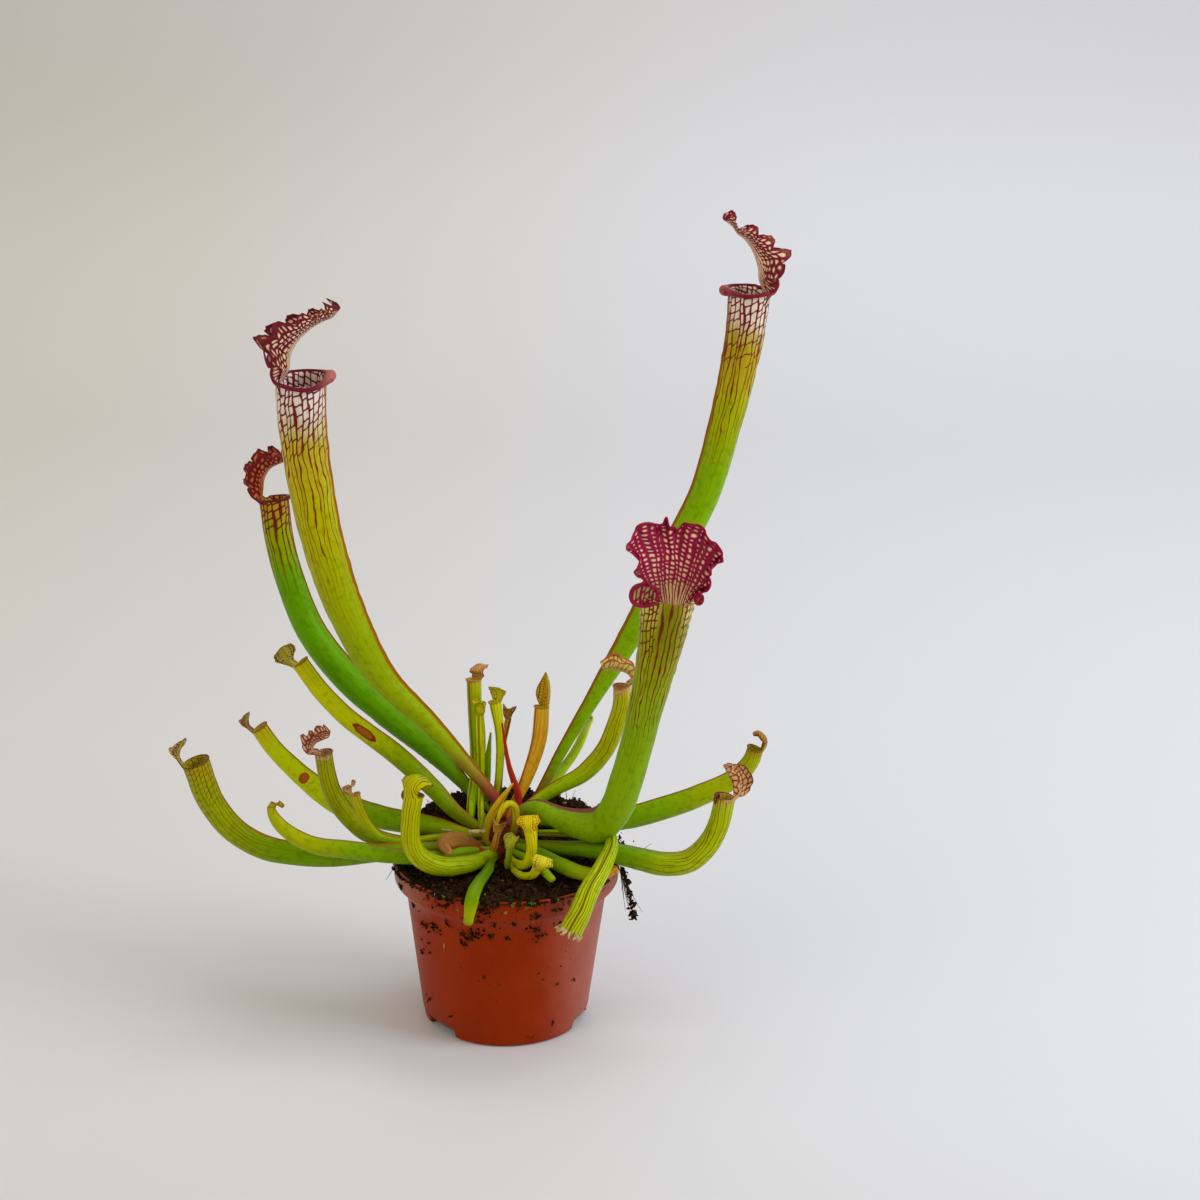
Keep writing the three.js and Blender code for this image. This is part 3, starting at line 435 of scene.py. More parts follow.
turns = np.linspace(SPILL_MIDDLE - SPILL_HALF, SPILL_MIDDLE + SPILL_HALF, 220)
apron = np.zeros((14, len(turns), 3))
for column, angle in enumerate(turns):
    hangs = max(0.05, float(spill_low(angle)))
    path = [(40, 66.2), (42, 67.1), (43.2, 67.6), (44.4, 67.7), (45.3, 67.3), (45.6, 66.8)]
    path += [(45.5 - 0.1 * share * hangs, 66.6 - share * hangs) for share in (0.25, 0.5, 0.75, 0.95)]
    path += [(45.1 - 0.1 * hangs, 66.6 - hangs), (44.2, 66), (43.4, 66.6), (40, 66.2)]
    cover = 0.25 + 0.75 * float(smooth(hangs, 0.05, 0.6))
    for row, (radius, z) in enumerate(path):
        radius = min(radius, 42.8) + max(0.0, radius - 42.8) * cover
        bumpy = 1.2 * noise.fractal(Vector((angle * 30, z * 0.7, 0)), 0.6, 2.1, 4)
        grow = bumpy * min(1.0, 0.3 + hangs / 2) if 0 < row < 11 else 0
        x, y = (radius + grow) * math.cos(angle), (radius + grow) * math.sin(angle)
        apron[row, column] = (x, y, z + grow * 0.4)
apron[:, 0] = apron[:, 0].mean(axis=0)
apron[:, -1] = apron[:, -1].mean(axis=0)
spill = bmesh.new()
lay_sheet(spill, apron)
put("peat_spill", spill, loam.material, "peat")


def on_pot(degrees, z, off):
    """The place on the pot's outer skin at a height, so far off it, all in mm."""
    heights = [0, neck_high, neck_high + 0.5, collar_foot - 0.7, POT_HIGH - 0.6]
    radius = float(np.interp(z, heights, [FOOT, NECK, NECK + 0.35, RIM - 1.4, RIM])) + off
    return radius * math.cos(math.radians(degrees)), radius * math.sin(math.radians(degrees)), z


# Clusters of stuck crumbs: the angle round the pot, the height, how wide they spread, and how many.
STUCK = [
    (-155, 61, 2.2, 26), (-152, 53, 2.0, 16), (-141, 47.5, 2.6, 24), (-131, 48.5, 2.4, 24),
    (-118, 63, 3, 16), (-121, 53, 1.6, 8), (-111, 49, 2.4, 28), (-104, 50.5, 2.6, 34),
    (-103, 59, 2.4, 26), (-97, 63, 3.2, 36), (-94, 57, 2.4, 22), (-96, 50, 1.8, 12), (-84, 58, 1.6, 12),
    (-86, 49, 1.2, 8), (-74, 60, 2.2, 20), (-72, 53.5, 2.2, 26), (-67, 49.5, 2.2, 24), (-62, 62, 3, 18),
    (-58, 54, 2.0, 10), (-128, 62, 4, 18),
    (-147, 38, 5, 9), (-150, 13, 2.2, 5), (-126, 8, 3, 4), (-70, 4.5, 1.6, 5), (-40, 25, 1.2, 6),
    (-55, 9, 1.6, 6), (-100, 30, 9, 7), (-60, 34, 7, 6), (-112, 45, 1.6, 8),
]
spots = []
for degrees, z, spread, count in STUCK:
    for k in range(count):
        size = crumb_size(0.22, 0.75, 2.2)
        turn = degrees + chance.gauss(0, 0.6) * spread * 1.5
        low = min(z + chance.gauss(0, 0.5) * spread, 66.5)
        spots.append((on_pot(turn, low, 0.3 * size), size))
for k in range(RIM_CRUMBS):
    turn = SPILL_MIDDLE + SPILL_HALF * chance.uniform(-0.95, 0.95)
    low = 66.8 - (spill_low(turn) + 0.6) * chance.random() ** 0.7
    size = crumb_size(0.22, 0.7, 2)
    spots.append((on_pot(math.degrees(turn), low, 0.4 + 0.3 * size), size))
put("spilled_crumbs", crumb_heap(spots), crumb_finish.material, "peat")


def curve(b, c, leave, reach, t):
    """The value at t, 0 to 1, on the smooth curve that leaves b and reaches c at these rates."""
    return b + t * leave + t * t * (3 * (c - b) - 2 * leave - reach) + t**3 * (2 * (b - c) + leave + reach)


def through(values, share):
    """The value at a share of the way along evenly spaced values, on a smooth curve."""
    spots = np.array(values, float)
    place = min(max(share, 0.0), 1.0) * (len(spots) - 1)
    k = min(int(place), len(spots) - 2)
    a, b, c, d = (spots[min(max(k + step, 0), len(spots) - 1)] for step in (-1, 0, 1, 2))
    return curve(b, c, (c - a) / 2, (d - b) / 2, place - k)


def add_strand(bm, path, thick, sides, edge=(0.0, 0.0), **marks):
    """Adds a closed round strand along the places of the path, in mm, so thick at even steps."""
    way = np.gradient(path, axis=0)
    way /= np.linalg.norm(way, axis=1, keepdims=True)
    start = np.cross(way[0], (0.3, 0.5, 0.8))
    places = np.zeros((len(path) + 2, sides + 1, 3))
    for row, at in enumerate(path):
        start = start - way[row] * np.dot(start, way[row])
        start /= np.linalg.norm(start)
        across = np.cross(way[row], start)
        radius = float(through(thick, row / (len(path) - 1))) / 2
        for column, angle in enumerate(np.linspace(0, 2 * np.pi, sides + 1)):
            places[row + 1, column] = at + radius * (math.cos(angle) * start + math.sin(angle) * across)
    places[0, :] = path[0] - way[0] * thick[0] * 0.2
    places[-1, :] = path[-1] + way[-1] * thick[-1] * 0.2
    places[:, -1] = places[:, 0]
    full = {name: np.full(places.shape[:2], value) for name, value in marks.items()}
    along = np.array([through(edge, row / (len(path) + 1)) for row in range(len(path) + 2)])
    full["edge"] = np.repeat(along[:, None], sides + 1, axis=1)
    lay_sheet(bm, places, np.zeros((*places.shape[:2], 2)), **full)


def hair(start, way, length, bend, steps=7):
    """A thin bent path in mm that starts at a place, sets out along a way and sags aside."""
    way = np.array(way, float) / np.linalg.norm(way)
    aside = np.array([chance.gauss(0, 1) for k in range(3)])
    aside -= way * np.dot(aside, way)
    shares = np.linspace(0, 1, steps)[:, None]
    return np.array(start) + length * (way * shares + aside * bend * shares**2)


fibre_finish = Finish("fibre_skin")
browned = fibre_finish.cloud(fibre_finish.place(), 60, 2).rise(0.35, 0.65)
tone = fibre_finish.mix(browned, "1c0e06", "5c3c1c")
fibre_finish.coat(tone, 0.85, Specular_IOR_Level=0.1)
fibres = bmesh.new()
for k in range(FIBRES):
    x, y = scattered(44)
    way = (chance.uniform(-1, 1), chance.uniform(-1, 1), chance.uniform(0.1, 0.9))
    path = hair((x, y, peat_high(x, y) - 0.3), way, chance.uniform(2, 6.5), chance.uniform(0, 0.3))
    add_strand(fibres, path, [0.3, 0.22, 0.12], 4)
for k in range(TUFT_ROOTS):
    start = (45 + chance.gauss(0, 0.5), -9 + chance.gauss(0, 1.6), 66.5)
    way = (chance.uniform(0.05, 0.32), chance.uniform(-0.2, 0.1), -1)
    add_strand(fibres, hair(start, way, chance.uniform(9, TUFT_LONG), 0.1, 10), [0.45, 0.3, 0.15], 4)
for start, way, length in [((46, -4, 68), (1, 0.1, 0.35), 12), ((-40, 4, 68), (-0.6, -0.6, 0.8), 7),
                           ((-43, -14, 67), (-0.5, -0.4, -1), 6)]:
    add_strand(fibres, hair(start, way, length, 0.15, 10), [0.3, 0.25, 0.15], 4)
put("peat_fibres", fibres, fibre_finish.material, "peat")

spots = []
for k in range(TUFT_CRUMBS):
    drop = TUFT_LONG * chance.random() ** 0.8
    lumpy = 1 + math.sin(drop * 1.3)
    middle = (46 + 0.22 * drop + chance.gauss(0, 0.5) * lumpy, -9.5 + chance.gauss(0, 1.2), 66.5 - drop)
    spots.append((middle, crumb_size(0.3, 0.9, 2)))
put("root_tuft_crumbs", crumb_heap(spots), crumb_finish.material, "peat")

moss_finish = Finish("moss_skin")
tone = moss_finish.mix(moss_finish.cloud(moss_finish.place(), 300, 2), "3c6a04", "7ca81c")
moss_finish.coat(tone, 0.8, Specular_IOR_Level=0.1)
moss = bmesh.new()
for degrees, z, spread in [
    (-75, 66.6, 1.4), (-77, 64.8, 0.9), (-84, 66.2, 0.6), (-62, 66.5, 0.5), (-119, 66.6, 0.6),
    (-101, 66.6, 0.5),
]:
    for k in range(round(12 * spread)):
        start = on_pot(degrees + chance.gauss(0, 0.8) * spread, z, 0.2)
        way = (chance.gauss(0, 0.6), -1, chance.gauss(0.4, 0.5))
        add_strand(moss, hair(start, way, chance.uniform(0.7, 1.6), 0.2, 5), [0.4, 0.35, 0.12], 4)
put("moss_tufts", moss, moss_finish.material, "peat")

litter_finish = Finish("litter_skin")
straw = litter_finish.cloud(litter_finish.place(), 400, 3).rise(0.35, 0.6)
tone = litter_finish.mix(straw, "8a6a34", "ccb484")
litter_finish.coat(tone, 0.8, Specular_IOR_Level=0.15)
litter = bmesh.new()
for start, way, length, thick in [
    ((-14, -10, 80.5), (1, 0.1, 0.02), 6, 1.7), (on_pot(-124, 66.6, 0.2), (1, -0.2, -0.1), 3.2, 1.3),
    (on_pot(-119, 66.9, 0.2), (1, -0.3, -0.2), 1.8, 0.9), ((-22, 2, 76), (-0.8, -1, 0.3), 6, 0.8),
    (on_pot(-126, 43, 0.1), (0.1, -0.1, -1), 3, 0.3), ((20, -20, 69.5), (1, 0.3, 0.1), 3, 0.8),
]:
    add_strand(litter, hair(start, way, length, 0.08, 6), [thick, thick, 0.8 * thick], 8)
put("leaf_litter", litter, litter_finish.material, "peat")


# The rhizome: the short thick stem that all leaves grow from, half sunk in the peat. It is knobbly
# and red-brown, and wrapped in the papery ends of old leaves.
RHIZOME_AT = (-1, 6, 65)
RHIZOME_HALF = (10.5, 15.5, 13)

stem = bmesh.new()
for vert in bmesh.ops.create_uvsphere(stem, u_segments=64, v_segments=40, radius=1)["verts"]:
    way = vert.co.copy()
    knobs = 1 + 0.10 * noise.noise(way * 3.1) + 0.05 * noise.noise(way * 8.3)
    sizes = zip(RHIZOME_AT, RHIZOME_HALF, way)
    vert.co = [(middle + half * part * knobs) * MM for middle, half, part in sizes]
bark = Finish("rhizome_skin")
at = bark.place()
tone = bark.mix(bark.cloud(at, 220, 4), "4a1410", "683418")
tone = bark.mix(bark.cloud(at, 480, 4).rise(0.55, 0.66), tone, "2a160e")
bark.coat(tone, 0.7, bark.cloud(at, 500, 5), 0.0008, 0.8, Specular_IOR_Level=0.08)
put("rhizome_skin", stem, bark.material, "rhizome", ["rhizome"])


# The four great pitchers: tall trumpets that widen to a mouth with a rolled lip, and carry a hood
# that stands on a folded neck and ends in a curled, ruffled margin. A seam runs up the side that
# faces the crown. Their skin is a net of dark red veins round pale windows at the top, and green
# and then red further down.
LEAF_STEPS = 400
LINE_STEPS = 40
HOOD_INSET = 0.3
SPIKE_WIDE = 0.016


def walk(points, steps):
    """Places at even steps of the smooth line through the points, its directions and its length."""
    marks = np.array(points, float)
    marks = np.vstack([2 * marks[0] - marks[1], marks, 2 * marks[-1] - marks[-2]])
    fine = []
    for a, b, c, d in zip(marks, marks[1:], marks[2:], marks[3:]):
        i, j, k = (math.sqrt(math.dist(*pair)) for pair in ((a, b), (b, c), (c, d)))
        leave = ((b - a) / i - (c - a) / (i + j) + (c - b) / j) * j
        reach = ((c - b) / j - (d - b) / (j + k) + (d - c) / k) * j
        fine += [curve(b, c, leave, reach, t) for t in np.linspace(0, 1, LINE_STEPS, endpoint=False)]
    fine = np.array([*fine, marks[-2]])
    run = np.concatenate([[0], np.cumsum(np.linalg.norm(np.diff(fine, axis=0), axis=1))])
    evenly = np.linspace(0, run[-1], steps + 1)
    at = np.stack([np.interp(evenly, run, fine[:, axis]) for axis in range(3)], axis=1)
    way = np.gradient(at, axis=0)
    return at, way / np.linalg.norm(way, axis=1, keepdims=True), run[-1]


class Leaf:
    """A leaf's tube: it runs through the spine's points from the rhizome to the mouth, is so wide at
    even steps, and turns its seam, wing high, to the point that it faces. All in mm."""

    def __init__(self, name, spine, width, faces, wing=(0, 0), flat=1.0, lip=0.0, deep=0.0,
                 flare=(0, 0), rise=(0, 0)):
        self.name, self.width, self.wing, self.flat = name, width, wing, flat
        self.lip, self.deep, self.flare, self.rise = lip, deep, flare, rise
        self.at, self.up, self.length = walk(spine, LEAF_STEPS)
        inner = np.array(faces, float) - self.at
        inner -= (inner * self.up).sum(axis=1, keepdims=True) * self.up
        self.inner = inner / np.linalg.norm(inner, axis=1, keepdims=True)
        self.side = np.cross(self.up, self.inner)
        self.radius = width[-1] / 2
        self.wall = min(0.8, 0.4 * self.radius)

    def axes(self, t):
        """Where the tube's middle is at a share of its length, and its ways up, inward and aside."""
        place = min(max(t, 0.0), 1.0) * LEAF_STEPS
        k = min(int(place), LEAF_STEPS - 1)
        rest = place - k
        parts = (self.at, self.up, self.inner, self.side)
        return [(1 - rest) * part[k] + rest * part[k + 1] for part in parts]


def lip_ends(leaf, hood):
    """How far round from the front the lip runs before it climbs the hood's neck, as an angle."""
    back = leaf.radius - HOOD_INSET
    return math.pi - math.asin(min(1.0, (hood["half"][0] if hood else 0.3 * back) / back, 0.9))


def rim_shape(leaf, turned, ends):
    """How far the rim spreads out and climbs, in mm, at an angle from the front of the mouth."""
    share = (turned / ends + 1) / 2
    fades = 1 - float(smooth(abs(turned), ends, ends + 0.35))
    return float(through(leaf.flare, share)) * fades, float(through(leaf.rise, share)) * fades


def add_tube(bm, leaf, columns, step, hood=None, uneven=0.02):
    """Adds the tube from its root to its mouth, out over the flared rim and down inside it."""
    girth = 2 * math.pi * leaf.radius
    ends = lip_ends(leaf, hood)
    rows = [(0.0, leaf.width[0] / 2 - 0.01, 0.0, 0.0)]
    rows += [(t, 0.0, 0.0, 0.0) for t in np.linspace(0, 1, max(8, round(leaf.length / step)))]
    if leaf.deep:
        rows += [(1.0, 0.0, share, 0.0) for share in (0.3, 0.6, 0.85, 1.0)]
        rows += [(1.0, leaf.wall, share, 0.0) for share in (1.0, 0.85, 0.6, 0.3, 0.0)]
        down = np.arange(2 * step, leaf.deep, 2 * step)
        rows += [(1 - depth / leaf.length, leaf.wall, 0.0, 0.0) for depth in down]
        rows += [(1 - leaf.deep / leaf.length, 99.0, 0.0, 0.0)]
    else:
        tip = [math.radians(degrees) for degrees in (20, 40, 60, 75, 90)]
        rows += [(1.0, leaf.radius * (1 - math.cos(a)), 0.0, 0.7 * leaf.radius * math.sin(a)) for a in tip]
    shares = np.linspace(0, 1, columns)
    angles = 2 * np.pi * shares - 0.5 * np.sin(2 * np.pi * shares)
    places = np.zeros((len(rows), columns, 3))
    uv = np.zeros((len(rows), columns, 2))
    marks = {name: np.zeros((len(rows), columns)) for name in ("base", "keel", "edge", "reach", "back")}
    for row, (t, inset, flared, lift) in enumerate(rows):
        at, up, inner, side = leaf.axes(t)
        radius = float(through(leaf.width, t)) / 2
        ridge = 0.0 if inset else max(0.0, float(through(leaf.wing, t)))
        wide = max(radius - inset, 0.0)
        keel_wide = 0.35 + 0.09 * radius
        for column, angle in enumerate(angles):
            turned = angle if angle < math.pi else angle - 2 * math.pi
            keel = math.exp(-((abs(turned) * radius / keel_wide) ** 2))
            seed = Vector((math.cos(angle) * 1.3, math.sin(angle) * 1.3, t * leaf.length * 0.035))
            lumpy = 1 + uneven * 2 * noise.noise(seed + Vector((0, 0, radius * 7)))
            spread, climb = rim_shape(leaf, turned, ends)
            out = wide * lumpy + spread * flared**1.6
            ahead = out * leaf.flat * math.cos(angle) + ridge * keel
            aside = out * math.sin(angle)
            places[row, column] = at + up * (climb * flared + lift) + inner * ahead + side * aside
            uv[row, column] = (angle / (2 * math.pi) * girth, (1 - t) * leaf.length - 2 * flared)
            marks["keel"][row, column] = keel * (inset == 0)
            marks["back"][row, column] = smooth(-math.cos(angle), 0.75, 0.98)
        marks["base"][row] = t * leaf.length
        marks["edge"][row] = math.exp(-((1 - t) * leaf.length) / 0.5) * 0.5 if leaf.deep else 0.0
    places[:, -1] = places[:, 0]
    places[0, :] = places[0].mean(axis=0)
    places[-1, :] = places[-1].mean(axis=0)
    lay_sheet(bm, places, uv, **marks)


def hood_places(leaf, hood, shares, reaches):
    """The middle of the hood's sheet: a row of places for each share of its length from the mouth, at
    each reach from one margin, -1, to the other, 1."""
    at, up, inner, side = leaf.axes(1.0)
    back = leaf.radius - HOOD_INSET
    u, sign = np.abs(reaches), np.where(reaches < 0, -1, 1)
    places = np.zeros((len(shares), len(reaches), 3))
    for row, v in enumerate(shares):
        here = through(hood["line"], v) - (back, 0)
        way = through(hood["line"], v + 0.004) - through(hood["line"], v - 0.004)
        way = way / np.linalg.norm(way)
        free = float(smooth(v, 0.0, hood.get("leaves", 0.2)))
        calm = float(smooth(v, 0.2, 0.42) * (1 - smooth(v, 0.94, 1.0)))
        twist = hood.get("twist", 0) * float(smooth(v, 0.1, 0.6))
        ahead = inner * math.cos(twist) + side * math.sin(twist)
        over_to = side * math.cos(twist) - inner * math.sin(twist)
        foot = at - inner * back
        half, bend = float(through(hood["half"], v)), float(through(hood["bend"], v))
        reach = (1 - free) * min(half, 0.9 * back) + free * half
        turn = math.pi * v * hood.get("lobes", 0) + np.where(sign > 0, 0.4, 1.3)
        quick = 2 * math.pi * v * hood.get("frills", 0) + np.where(sign > 0, 1, 2.6)
        seeds = [noise.noise(Vector((v * 9, 3.3 * edge_sign, leaf.length))) for edge_sign in (-1, 1)]
        uneven = 1 + 0.6 * np.where(sign > 0, seeds[1], seeds[0])
        lobe = np.abs(np.sin(turn)) ** 0.5
        spike = 0
        for place, high in hood.get("spikes", ()):
            spike += high * math.exp(-(((v - place) / SPIKE_WIDE) ** 2))
        knob = (lobe - 0.55) * hood.get("knob", 0) * uneven * min(1.0, half / 7)
        knob = knob + np.cos(quick) * hood.get("teeth", 0)
        w = u * (1 + (knob * calm + spike) / math.hypot(reach, 2 * bend) * u**5)
        wrapped = back - np.sqrt(np.maximum(0, back**2 - np.minimum(reach * u, back) ** 2))
        wave = np.cos(2 * turn + 0.6) * hood.get("ruffle", 0) * calm * uneven * u**4
        frill = np.sin(quick) * hood.get("frill", 0) * calm * u**6
        flat, high = reach * w, (1 - free) * wrapped + free * bend * w * w + wave + frill
        turned = -hood.get("curl", 0) * (0.35 + 0.65 * lobe) * calm * smooth(u, 0.68, 1.0)
        for one in (-1, 1):
            own = np.flatnonzero((sign == one) | (u == 0))
            own = own[np.argsort(u[own])]
            run, climb = np.diff(flat[own], prepend=0), np.diff(high[own], prepend=0)
            over, out = np.cos(turned[own]), np.sin(turned[own])
            aside = np.cumsum(run * over - climb * out)[:, None]
            away = np.cumsum(run * out + climb * over)[:, None]
            places[row, own] = (
                foot + ahead * (here[0] + back + way[1] * away) + up * (here[1] - way[0] * away)
                + over_to * aside * one
            )
    return places


def sheet_out(sheet):
    """The direction straight out of a thin sheet at each of its places."""
    out = np.cross(np.gradient(sheet, axis=1), np.gradient(sheet, axis=0))
    return out / (np.linalg.norm(out, axis=2, keepdims=True) + 1e-9)


def add_hood(bm, leaf, hood, rows, columns, thick=0.5):
    """Adds the hood as one closed thin sheet: its face over the mouth and its back."""
    spread = np.linspace(-1, 1, columns)
    reaches = 1.5 * spread - 0.5 * spread**3
    reaches[columns // 2] = 0.0
    shares = np.linspace(0, 1, rows)
    middle = hood_places(leaf, hood, shares, reaches)
    out = sheet_out(middle)
    half = thick / 2 * np.sqrt(np.clip(1 - np.abs(reaches) ** 8, 0, 1))[None, :, None]
    half = half * np.sqrt(np.clip(1 - shares**16, 0, 1))[:, None, None]
    both = np.concatenate([middle + out * half, (middle - out * half)[:, -2::-1]], axis=1)
    u = np.concatenate([reaches, reaches[-2::-1]])
    steps = np.linalg.norm(np.diff(middle[:, columns // 2], axis=0), axis=1)
    net = hood.get("net", 1.0)
    dense = 0.75 + (net - 0.75) * smooth(shares, 0.2, 0.6)
    long = np.concatenate([[0], np.cumsum(steps * (dense[1:] + dense[:-1]) / 2)])
    broad = max(math.hypot(*pair) for pair in zip(hood["half"], hood["bend"])) * net
    narrow = 1.3 * hood["half"][0]
    round_to = np.sign(u) * np.abs(u) ** 0.75
    spans = narrow + (broad - narrow) * smooth(shares, 0, 0.3)
    across = math.pi * leaf.radius - round_to[None, :] * spans[:, None]
    uv = np.stack([across, np.repeat(-long[:, None], len(u), axis=1)], axis=2)
    tip = smooth(shares, 0.9, 1.0)[:, None]
    free = smooth(shares, 0.0, 0.15)[:, None]
    marks = {
        "base": np.full((rows, len(u)), leaf.length),
        "keel": np.zeros((rows, len(u))),
        "edge": np.maximum(np.abs(u)[None, :] ** 6, tip) * free,
        "reach": np.maximum(np.abs(u)[None, :], tip) * free,
        "back": (1 - smooth(np.abs(u), 0.2, 0.5))[None, :] * np.ones((rows, 1)),
    }
    lay_sheet(bm, both, uv, **marks)


def add_lip(bm, leaf, hood, sizes, climbs=0.36, sides=12):
    """Adds the rolled lip: a bead from one margin of the hood's neck round the front of the mouth to
    the other margin, of these sizes at even steps."""
    at, up, inner, side = leaf.axes(1.0)
    ends = lip_ends(leaf, hood)
    round_front = []
    for turned in np.linspace(-ends, ends, 31):
        spread, climb = rim_shape(leaf, turned, ends)
        out = leaf.radius + spread + 0.1 * leaf.lip
        round_front.append(at + out * (inner * math.cos(turned) + side * math.sin(turned)) + up * climb)
    path = round_front
    if climbs:
        shares = np.linspace(0.08, climbs, 7)
        margins = hood_places(leaf, hood, shares, np.linspace(-1, 1, 51))
        path = [*margins[::-1, 0], *round_front, *margins[:, -1]]
    places, way, length = walk(path, 150)
    add_strand(bm, places, sizes, sides, (1, 1, 1, 1, 1, 0.94, 0.8, 0.94, 1, 1, 1, 1, 1),
               base=leaf.length, keel=0.0, reach=0.0, back=0.0)


# Cross veins link the long ones: how many to a cell's width at the mouth, how far down the tube their
# spacing doubles, and how thin they fade where the veins run alone.
LINKS = 20
LINKS_DOUBLE = 22
LINKS_FADE = 3


def leaf_skin(name, tones, cell=2.4, windows=(6, 20), greens=(30, 90), roots=(10, 50), net=(14, 30),
              turns=(6, 30), fades=(30, 90), wide=0.1, swell=0.9, seam_to=0.85, lines=0.2,
              band=(0.2, 0.7), amber=None, heart=None, lip=None, spots=()):
    """The skin of a leaf: pale windows at the mouth, yellow, green and then the root's colour below,
    a net of veins that draws out into long lines, and a darker rim and seam. The tones are those of
    the windows, the yellow, the green, the root, the veins, the long streaks, the rim and the seam,
    and a ninth is that of the hood's windows. Distances in mm."""
    window, yellow, green, root, vein, streak, rim, seam, *hooded = tones.split()
    skin = Finish(name)
    uv = skin.node("ShaderNodeUVMap", {"uv_map": "skin"})
    across, down = skin.part(uv, 0), skin.part(uv, 1)
    reach, edge = skin.mark("reach"), skin.mark("edge")
    at = skin.place()
    blotch = skin.cloud(at, 95, 3) - 0.5
    drift = skin.cloud(skin.vector(across * 0.2, down * 0.06), 1, 2) - 0.5
    depth = down + blotch * 16
    columns = {"W": across / cell + drift * 2.2, "Scale": 1, "Randomness": 0.75}
    to_edge = {"voronoi_dimensions": "1D", "feature": "DISTANCE_TO_EDGE"}
    to_middle = {"voronoi_dimensions": "1D", "feature": "F1"}
    apart = skin.node("ShaderNodeTexVoronoi", to_edge, columns, "Distance")
    own = skin.node("ShaderNodeTexVoronoi", to_middle, columns, "W")
    slower = down.math("MAXIMUM", 0.0) / LINKS_DOUBLE + 1
    rows = slower.math("LOGARITHM", math.e) * (LINKS / cell) + down.math("MINIMUM", 0.0) / (cell * 1.1)
    links = {"W": rows + own * 7.3 + (columns["W"] - own) * 0.4, "Scale": 1, "Randomness": 0.8}
    along = skin.node("ShaderNodeTexVoronoi", to_edge, links, "Distance") * slower * 1.1
    drawn = (down + drift * 10).rise(*net).math("MAXIMUM", skin.mark("back"))
    along = along + drawn.rise(0.5, 1.0) * LINKS_FADE
    gap = apart * along / (apart * apart + along * along).math("SQRT")
    thick = (reach * swell + 1) * wide * (down.fall(10, 70) * 0.5 + 0.5)
    veins = gap.fall(thick * 0.6, thick * 1.3) * depth.fall(*fades)
    streaks = skin.cloud(skin.vector(across * 1.3 + drift * 2, down * 0.03), 1, 3).rise(0.45, 0.7)
    streaks = streaks * down.rise(-2, 8)
    tone = skin.mix(reach.rise(0.0, 0.25), window, hooded[0] if hooded else window)
    tone = skin.mix(depth.rise(*windows), tone, yellow)
    if amber:
        tone = skin.mix(depth.rise(*windows) * depth.fall(windows[1], windows[1] * 1.8), tone, amber)
    tone = skin.mix(depth.rise(*greens), tone, green)
    if heart:
        tone = skin.mix(down.fall(8, 44) * skin.mark("back"), tone, heart)
    fibres = skin.cloud(skin.vector(across * 2.6, down * 0.05), 1, 2).rise(0.4, 0.7)
    mottled = fibres * 0.5 + skin.cloud(at, 420, 3).rise(0.5, 0.65)
    tone = skin.mix(mottled * down.rise(0, 20) * 0.22, tone, "2c4400")
    tone = skin.mix(streaks * lines, tone, streak)
    tone = skin.mix(veins, tone, skin.mix(down.rise(*turns), vein, streak))
    tone = skin.mix((skin.mark("base") + blotch * 20).fall(*roots), tone, root)
    tone = skin.mix(skin.mark("keel").rise(*band) * seam_to, tone, seam)
    rimmed = (edge + (skin.cloud(at, 700, 2) - 0.5) * 0.2).rise(0.6, 0.8)
    tone = skin.mix(rimmed, tone, rim)
    if lip:
        front = edge.fall(0.8, 1.0) * edge.rise(0.75, 0.8) * (1 - reach.rise(0.0, 0.1))
        tone = skin.mix(front * skin.cloud(at, 420, 2).rise(0.25, 0.45), tone, lip)
    for (across_at, down_at), (wide_by, long_by), inside, ring in spots:
        near, far = (across - across_at) / wide_by, (down - down_at) / long_by
        spot = (near * near + far * far).math("SQRT") + (skin.cloud(at, 500, 2) - 0.5) * 0.3
        tone = skin.mix(spot.fall(0.95, 1.1), tone, ring)
        tone = skin.mix(spot.fall(0.6, 0.8), tone, inside)
    tone = skin.mix(skin.cloud(at, 1300, 2).rise(0.7, 0.76) * 0.3, tone, streak)
    relief = veins * 0.6 + streaks * 0.25
    return skin.coat(tone, blotch * 0.15 + 0.38, relief, 0.0003, 0.5, Specular_IOR_Level=0.17,
                     Specular_Tint=(1.0, 1.0, 0.2, 1.0))


LEFT_HOOD = {
    "line": [(0, -2), (2.6, 1.2), (4.8, 5), (5.2, 9), (6.8, 12.8), (9.6, 16.8), (13.8, 20.6), (18, 23.2),
             (21.8, 25), (24.4, 28.2)],
    "half": [7.6, 7, 6.6, 6.4, 6.3, 6.4, 7.4, 9.4, 9.8, 9, 8, 6.8, 5.8, 5, 4.2, 3.8, 4, 4.2, 3],
    "bend": [-1, -2.6, -4, -5, -5.6, -6, -7.4, -10.6, -10.8, -9, -7.2, -5.8, -4.6, -3.8, -3.2, -2.8,
             -3, -3.4, -2.4],
    "leaves": 0.12, "ruffle": 0.8, "lobes": 7.4, "knob": 4.2, "curl": 0.9, "frill": 0.2, "frills": 31,
    "teeth": 0.15, "net": 1.9, "spikes": [(0.965, 1.9), (0.4, 1.2)],
}
